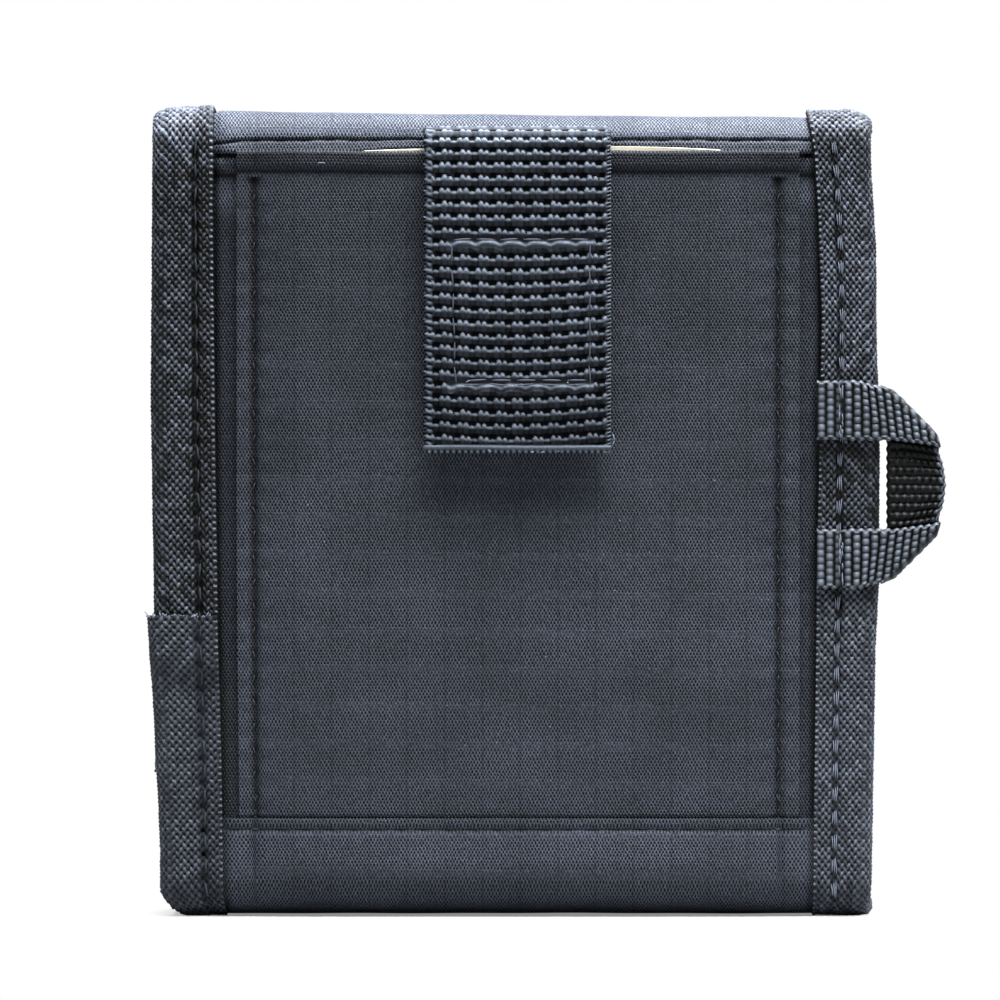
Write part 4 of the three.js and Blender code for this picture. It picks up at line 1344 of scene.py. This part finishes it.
class POUCH_OT_stitches(bpy.types.Operator):
    """Rows of machine stitches"""
    bl_idname = "pouch.stitches"
    bl_label = "Stitches"

    def execute(self, context):
        thread = look().thread
        line = cover_line(0.0)
        sunk = TAPE - 0.3

        def on_tape(side, stitch, lift=0.0):
            """Places on a side tape's seam, by the length of the cover line."""
            edges = left_edges if side < 0 else right_edges

            def place(length):
                y, z, ny, nz = line.at(length)
                h = sunk + lift * smooth((z - 30) / 5)
                x = edges(z, y)[0] + side * stitch
                return (float(x), float(y + ny * h), float(z + nz * h)), (0.0, float(ny), float(nz))
            return place

        def upright(x, y):
            return lambda z: ((x, y, z), BACKWARDS)

        def level(z, y, out=FORWARDS):
            return lambda x: ((x, y, z), out)

        def on_panel(x):
            def place(z):
                return (x, float(NEAR - panel_height(np.array(x), np.array(z)) - 0.05), z), FORWARDS
            return place

        right = []
        for number, shift in enumerate((-0.22, 0.05, 0.28)):
            right += row_of_stitches(on_tape(1, RIGHT_STITCH + shift), 2.0, 104.2, gap=0.5 + 0.1 * number,
                                     lean=0.05 - 0.06 * number)
        # The right tape's stitches take the thread with painted light
        thread_piece("stitches_right", right, 0.13, "bright thread", "shell")

        for name, lift, start, end in (("stitches_left_upper", 0.0, 41.5, 104.2),
                                       ("stitches_left_lower", 0.9, 2.0, 39.6)):
            row = row_of_stitches(on_tape(-1, LEFT_STITCH, lift), start, end, gap=0.6)
            # The left tape's stitches take the thread with painted shade
            thread_piece(name, row, 0.7 * thread, "dull thread", "shell")

        wall, flap = FAR + sunk, FLAP_FACE + sunk
        for body, rows in (
                ("shell", ((upright(LEFT_INNER - LEFT_STITCH, wall), 6.0, 101.0),
                           (upright(RIGHT_INNER + RIGHT_STITCH, wall), 6.0, 101.0),
                           (level(MOUTH_LOW + FAR_STITCH, wall, BACKWARDS), -42.4, 34.2))),
                ("lid", ((on_tape(-1, LEFT_STITCH, 0.1), 110.2, 128.0),
                         (on_tape(1, RIGHT_STITCH, -0.4), 110.2, 128.0))),
                ("flap", ((upright(LEFT_INNER - FAR_STITCH, flap), 29.0, 102.0),
                          (upright(RIGHT_INNER + FAR_STITCH, flap), 26.0, 102.0),
                          (level(FLAP_LOW - FAR_STITCH, flap, BACKWARDS), -45.5, 37.5)))):
            found = [stitch for row in rows for stitch in row_of_stitches(*row, gap=0.6)]
            thread_piece(f"stitches_far_{body}", found, 0.7 * thread, "sewing thread", body)

        for number, x in enumerate(PANEL_SEAMS):
            row = row_of_stitches(on_panel(x), 14.2, 97.5, gap=0.3, lean=0.16)
            # The panel's seam stitches take the thread with painted shade, in their grooves
            thread_piece(f"stitches_panel_{number}", row, 0.5 * thread, "dull thread", "shell")

        row = row_of_stitches(level(BAND_TOP - 0.1 - 1.45, NEAR - 0.75), -42.6, 35.6)
        thread_piece("stitches_band", row, thread, "sewing thread", "shell")

        box = []
        for z, start, end in ((90.2, 3.6, 22.2), (70.9, 4.8, 22.0), (71.5, 5.4, 22.0)):
            box += row_of_stitches(level(z, TAB_FACE - 0.05), TAB_LEFT + start, TAB_LEFT + end, gap=0.8)
        for x, lean in ((TAB_LEFT + BOX_LEFT, BOX_LEAN), (TAB_LEFT + BOX_RIGHT, 0)):
            def down(z):
                return (x + lean * (BOX_TOP - z), TAB_FACE + 0.05, z), FORWARDS
            box += row_of_stitches(down, 70.6, BOX_TOP)
        thread_piece("stitches_tab", box, 0.55 * thread, "sewing thread", "tab")
        return {"FINISHED"}


class POUCH_OT_fibres(bpy.types.Operator):
    """Frayed fibres at the lapped tape's cut end, in the loop's stitches and at the tab's end, and lint"""
    bl_idname = "pouch.fibres"
    bl_label = "Loose fibres"

    def execute(self, context):
        def tuft(name, bits, thickness, body):
            thread_piece(name, [(*bit, FORWARDS) for bit in bits], thickness, "loose fibre", body)

        face = NEAR - TAPE - 0.9
        bits = [((-52.6, face + 0.6, 40.0), (-53.3, face + 0.3, 40.8)),
                ((-52.4, face, 39.9), (-53.0, face - 0.2, 40.4))]
        for k in range(30):
            x = -52.6 + 8.4 * k / 30 + 0.5 * (scatter(k, 1) - 0.5)
            depth = face + 0.75 * scatter(k, 2)
            long = 0.2 + 0.5 * scatter(k, 3) ** 2
            lean = 1.1 * (scatter(k, 4) - 0.5)
            bits.append(((x, depth, 39.9), (x + lean, depth - 0.25 * scatter(k, 5), 40.0 + long)))
        tuft("lap_frays", bits, 0.13, "shell")

        bits = []
        for low in (LOOP_LOW + 0.3, LOOP_TOP - LOOP_WIDTH + 0.3):
            for k in range(15):
                x = LOOP_SEAM + 0.6 * (scatter(k, 7) - 0.5)
                y = LOOP_FRONT - 0.62 + 0.2 * scatter(k, 6)
                z = low + (LOOP_WIDTH - 0.9) * scatter(k, low)
                lean = 0.35 * (scatter(k, 8) - 0.5)
                long = 0.5 + 1.1 * scatter(k, 9)
                bits.append(((x, y, z), (x + lean, y - 0.05, min(z + long, low + LOOP_WIDTH - 0.4))))
        tuft("loop_stitch_frays", bits, 0.13, "shell")

        bits = [((9.0, TAB_FACE + 0.5, 62.8), (9.35, TAB_FACE + 0.3, 63.5)),
                ((9.35, TAB_FACE + 0.3, 63.4), (9.1, TAB_FACE + 0.4, 64.4))]
        for k in range(12):
            x = TAB_LEFT + 0.5 + 24 * scatter(k, 11)
            z = TAB_END + 0.2 if k % 2 else 70.6 + 1.2 * scatter(k, 12)
            end = (x + 1.2 * (scatter(k, 13) - 0.5), TAB_FACE - 0.2, z + 0.5 * (scatter(k, 14) - 0.4))
            bits.append(((x, TAB_FACE - 0.05, z), end))
        tuft("tab_frays", bits, 0.13, "tab")

        y = NEAR - float(panel_height(np.array(-29.6), np.array(100.5))) - 0.05
        bits = [((-30.2, y, 100.45), (-29.6, y - 0.1, 100.55)), ((-29.7, y - 0.1, 100.55), (-29.1, y, 100.4))]
        for k in range(14):
            x = -36 + 64 * scatter(k, 21)
            z = 20 + 76 * scatter(k, 22)
            y = NEAR - float(panel_height(np.array(x), np.array(z))) - 0.03
            way = 6.28 * scatter(k, 23)
            bits.append(((x, y, z), (x + 0.3 * math.cos(way), y - 0.03, z + 0.3 * math.sin(way))))
        tuft("lint", bits, 0.09, "shell")
        return {"FINISHED"}


class POUCH_PT_panel(bpy.types.Panel):
    """The pouch's pieces in the 3D view's sidebar"""
    bl_idname = "POUCH_PT_panel"
    bl_label = "Accessory pouch"
    bl_space_type = "VIEW_3D"
    bl_region_type = "UI"
    bl_category = "Pouch"

    def draw(self, context):
        for item in OPERATORS:
            self.layout.operator(item.bl_idname)


OPERATORS = (
    POUCH_OT_stage, POUCH_OT_walls, POUCH_OT_pocket, POUCH_OT_cover, POUCH_OT_bindings, POUCH_OT_flap_binding,
    POUCH_OT_tab, POUCH_OT_loop, POUCH_OT_patches, POUCH_OT_stitches, POUCH_OT_fibres,
)
CLASSES = (PouchLook, *OPERATORS, POUCH_PT_panel)


def register():
    for item in CLASSES:
        bpy.utils.register_class(item)
    bpy.types.Scene.pouch_look = bpy.props.PointerProperty(type=PouchLook)


def unregister():
    del bpy.types.Scene.pouch_look
    for item in reversed(CLASSES):
        bpy.utils.unregister_class(item)


def main():
    register()
    bpy.ops.pouch.stage()
    bpy.ops.pouch.walls()
    bpy.ops.pouch.pocket()
    bpy.ops.pouch.cover()
    bpy.ops.pouch.bindings()
    bpy.ops.pouch.flap_binding()
    bpy.ops.pouch.tab()
    bpy.ops.pouch.loop()
    bpy.ops.pouch.patches()
    bpy.ops.pouch.stitches()
    bpy.ops.pouch.fibres()
    deselect()


if __name__ == "__main__":
    main()
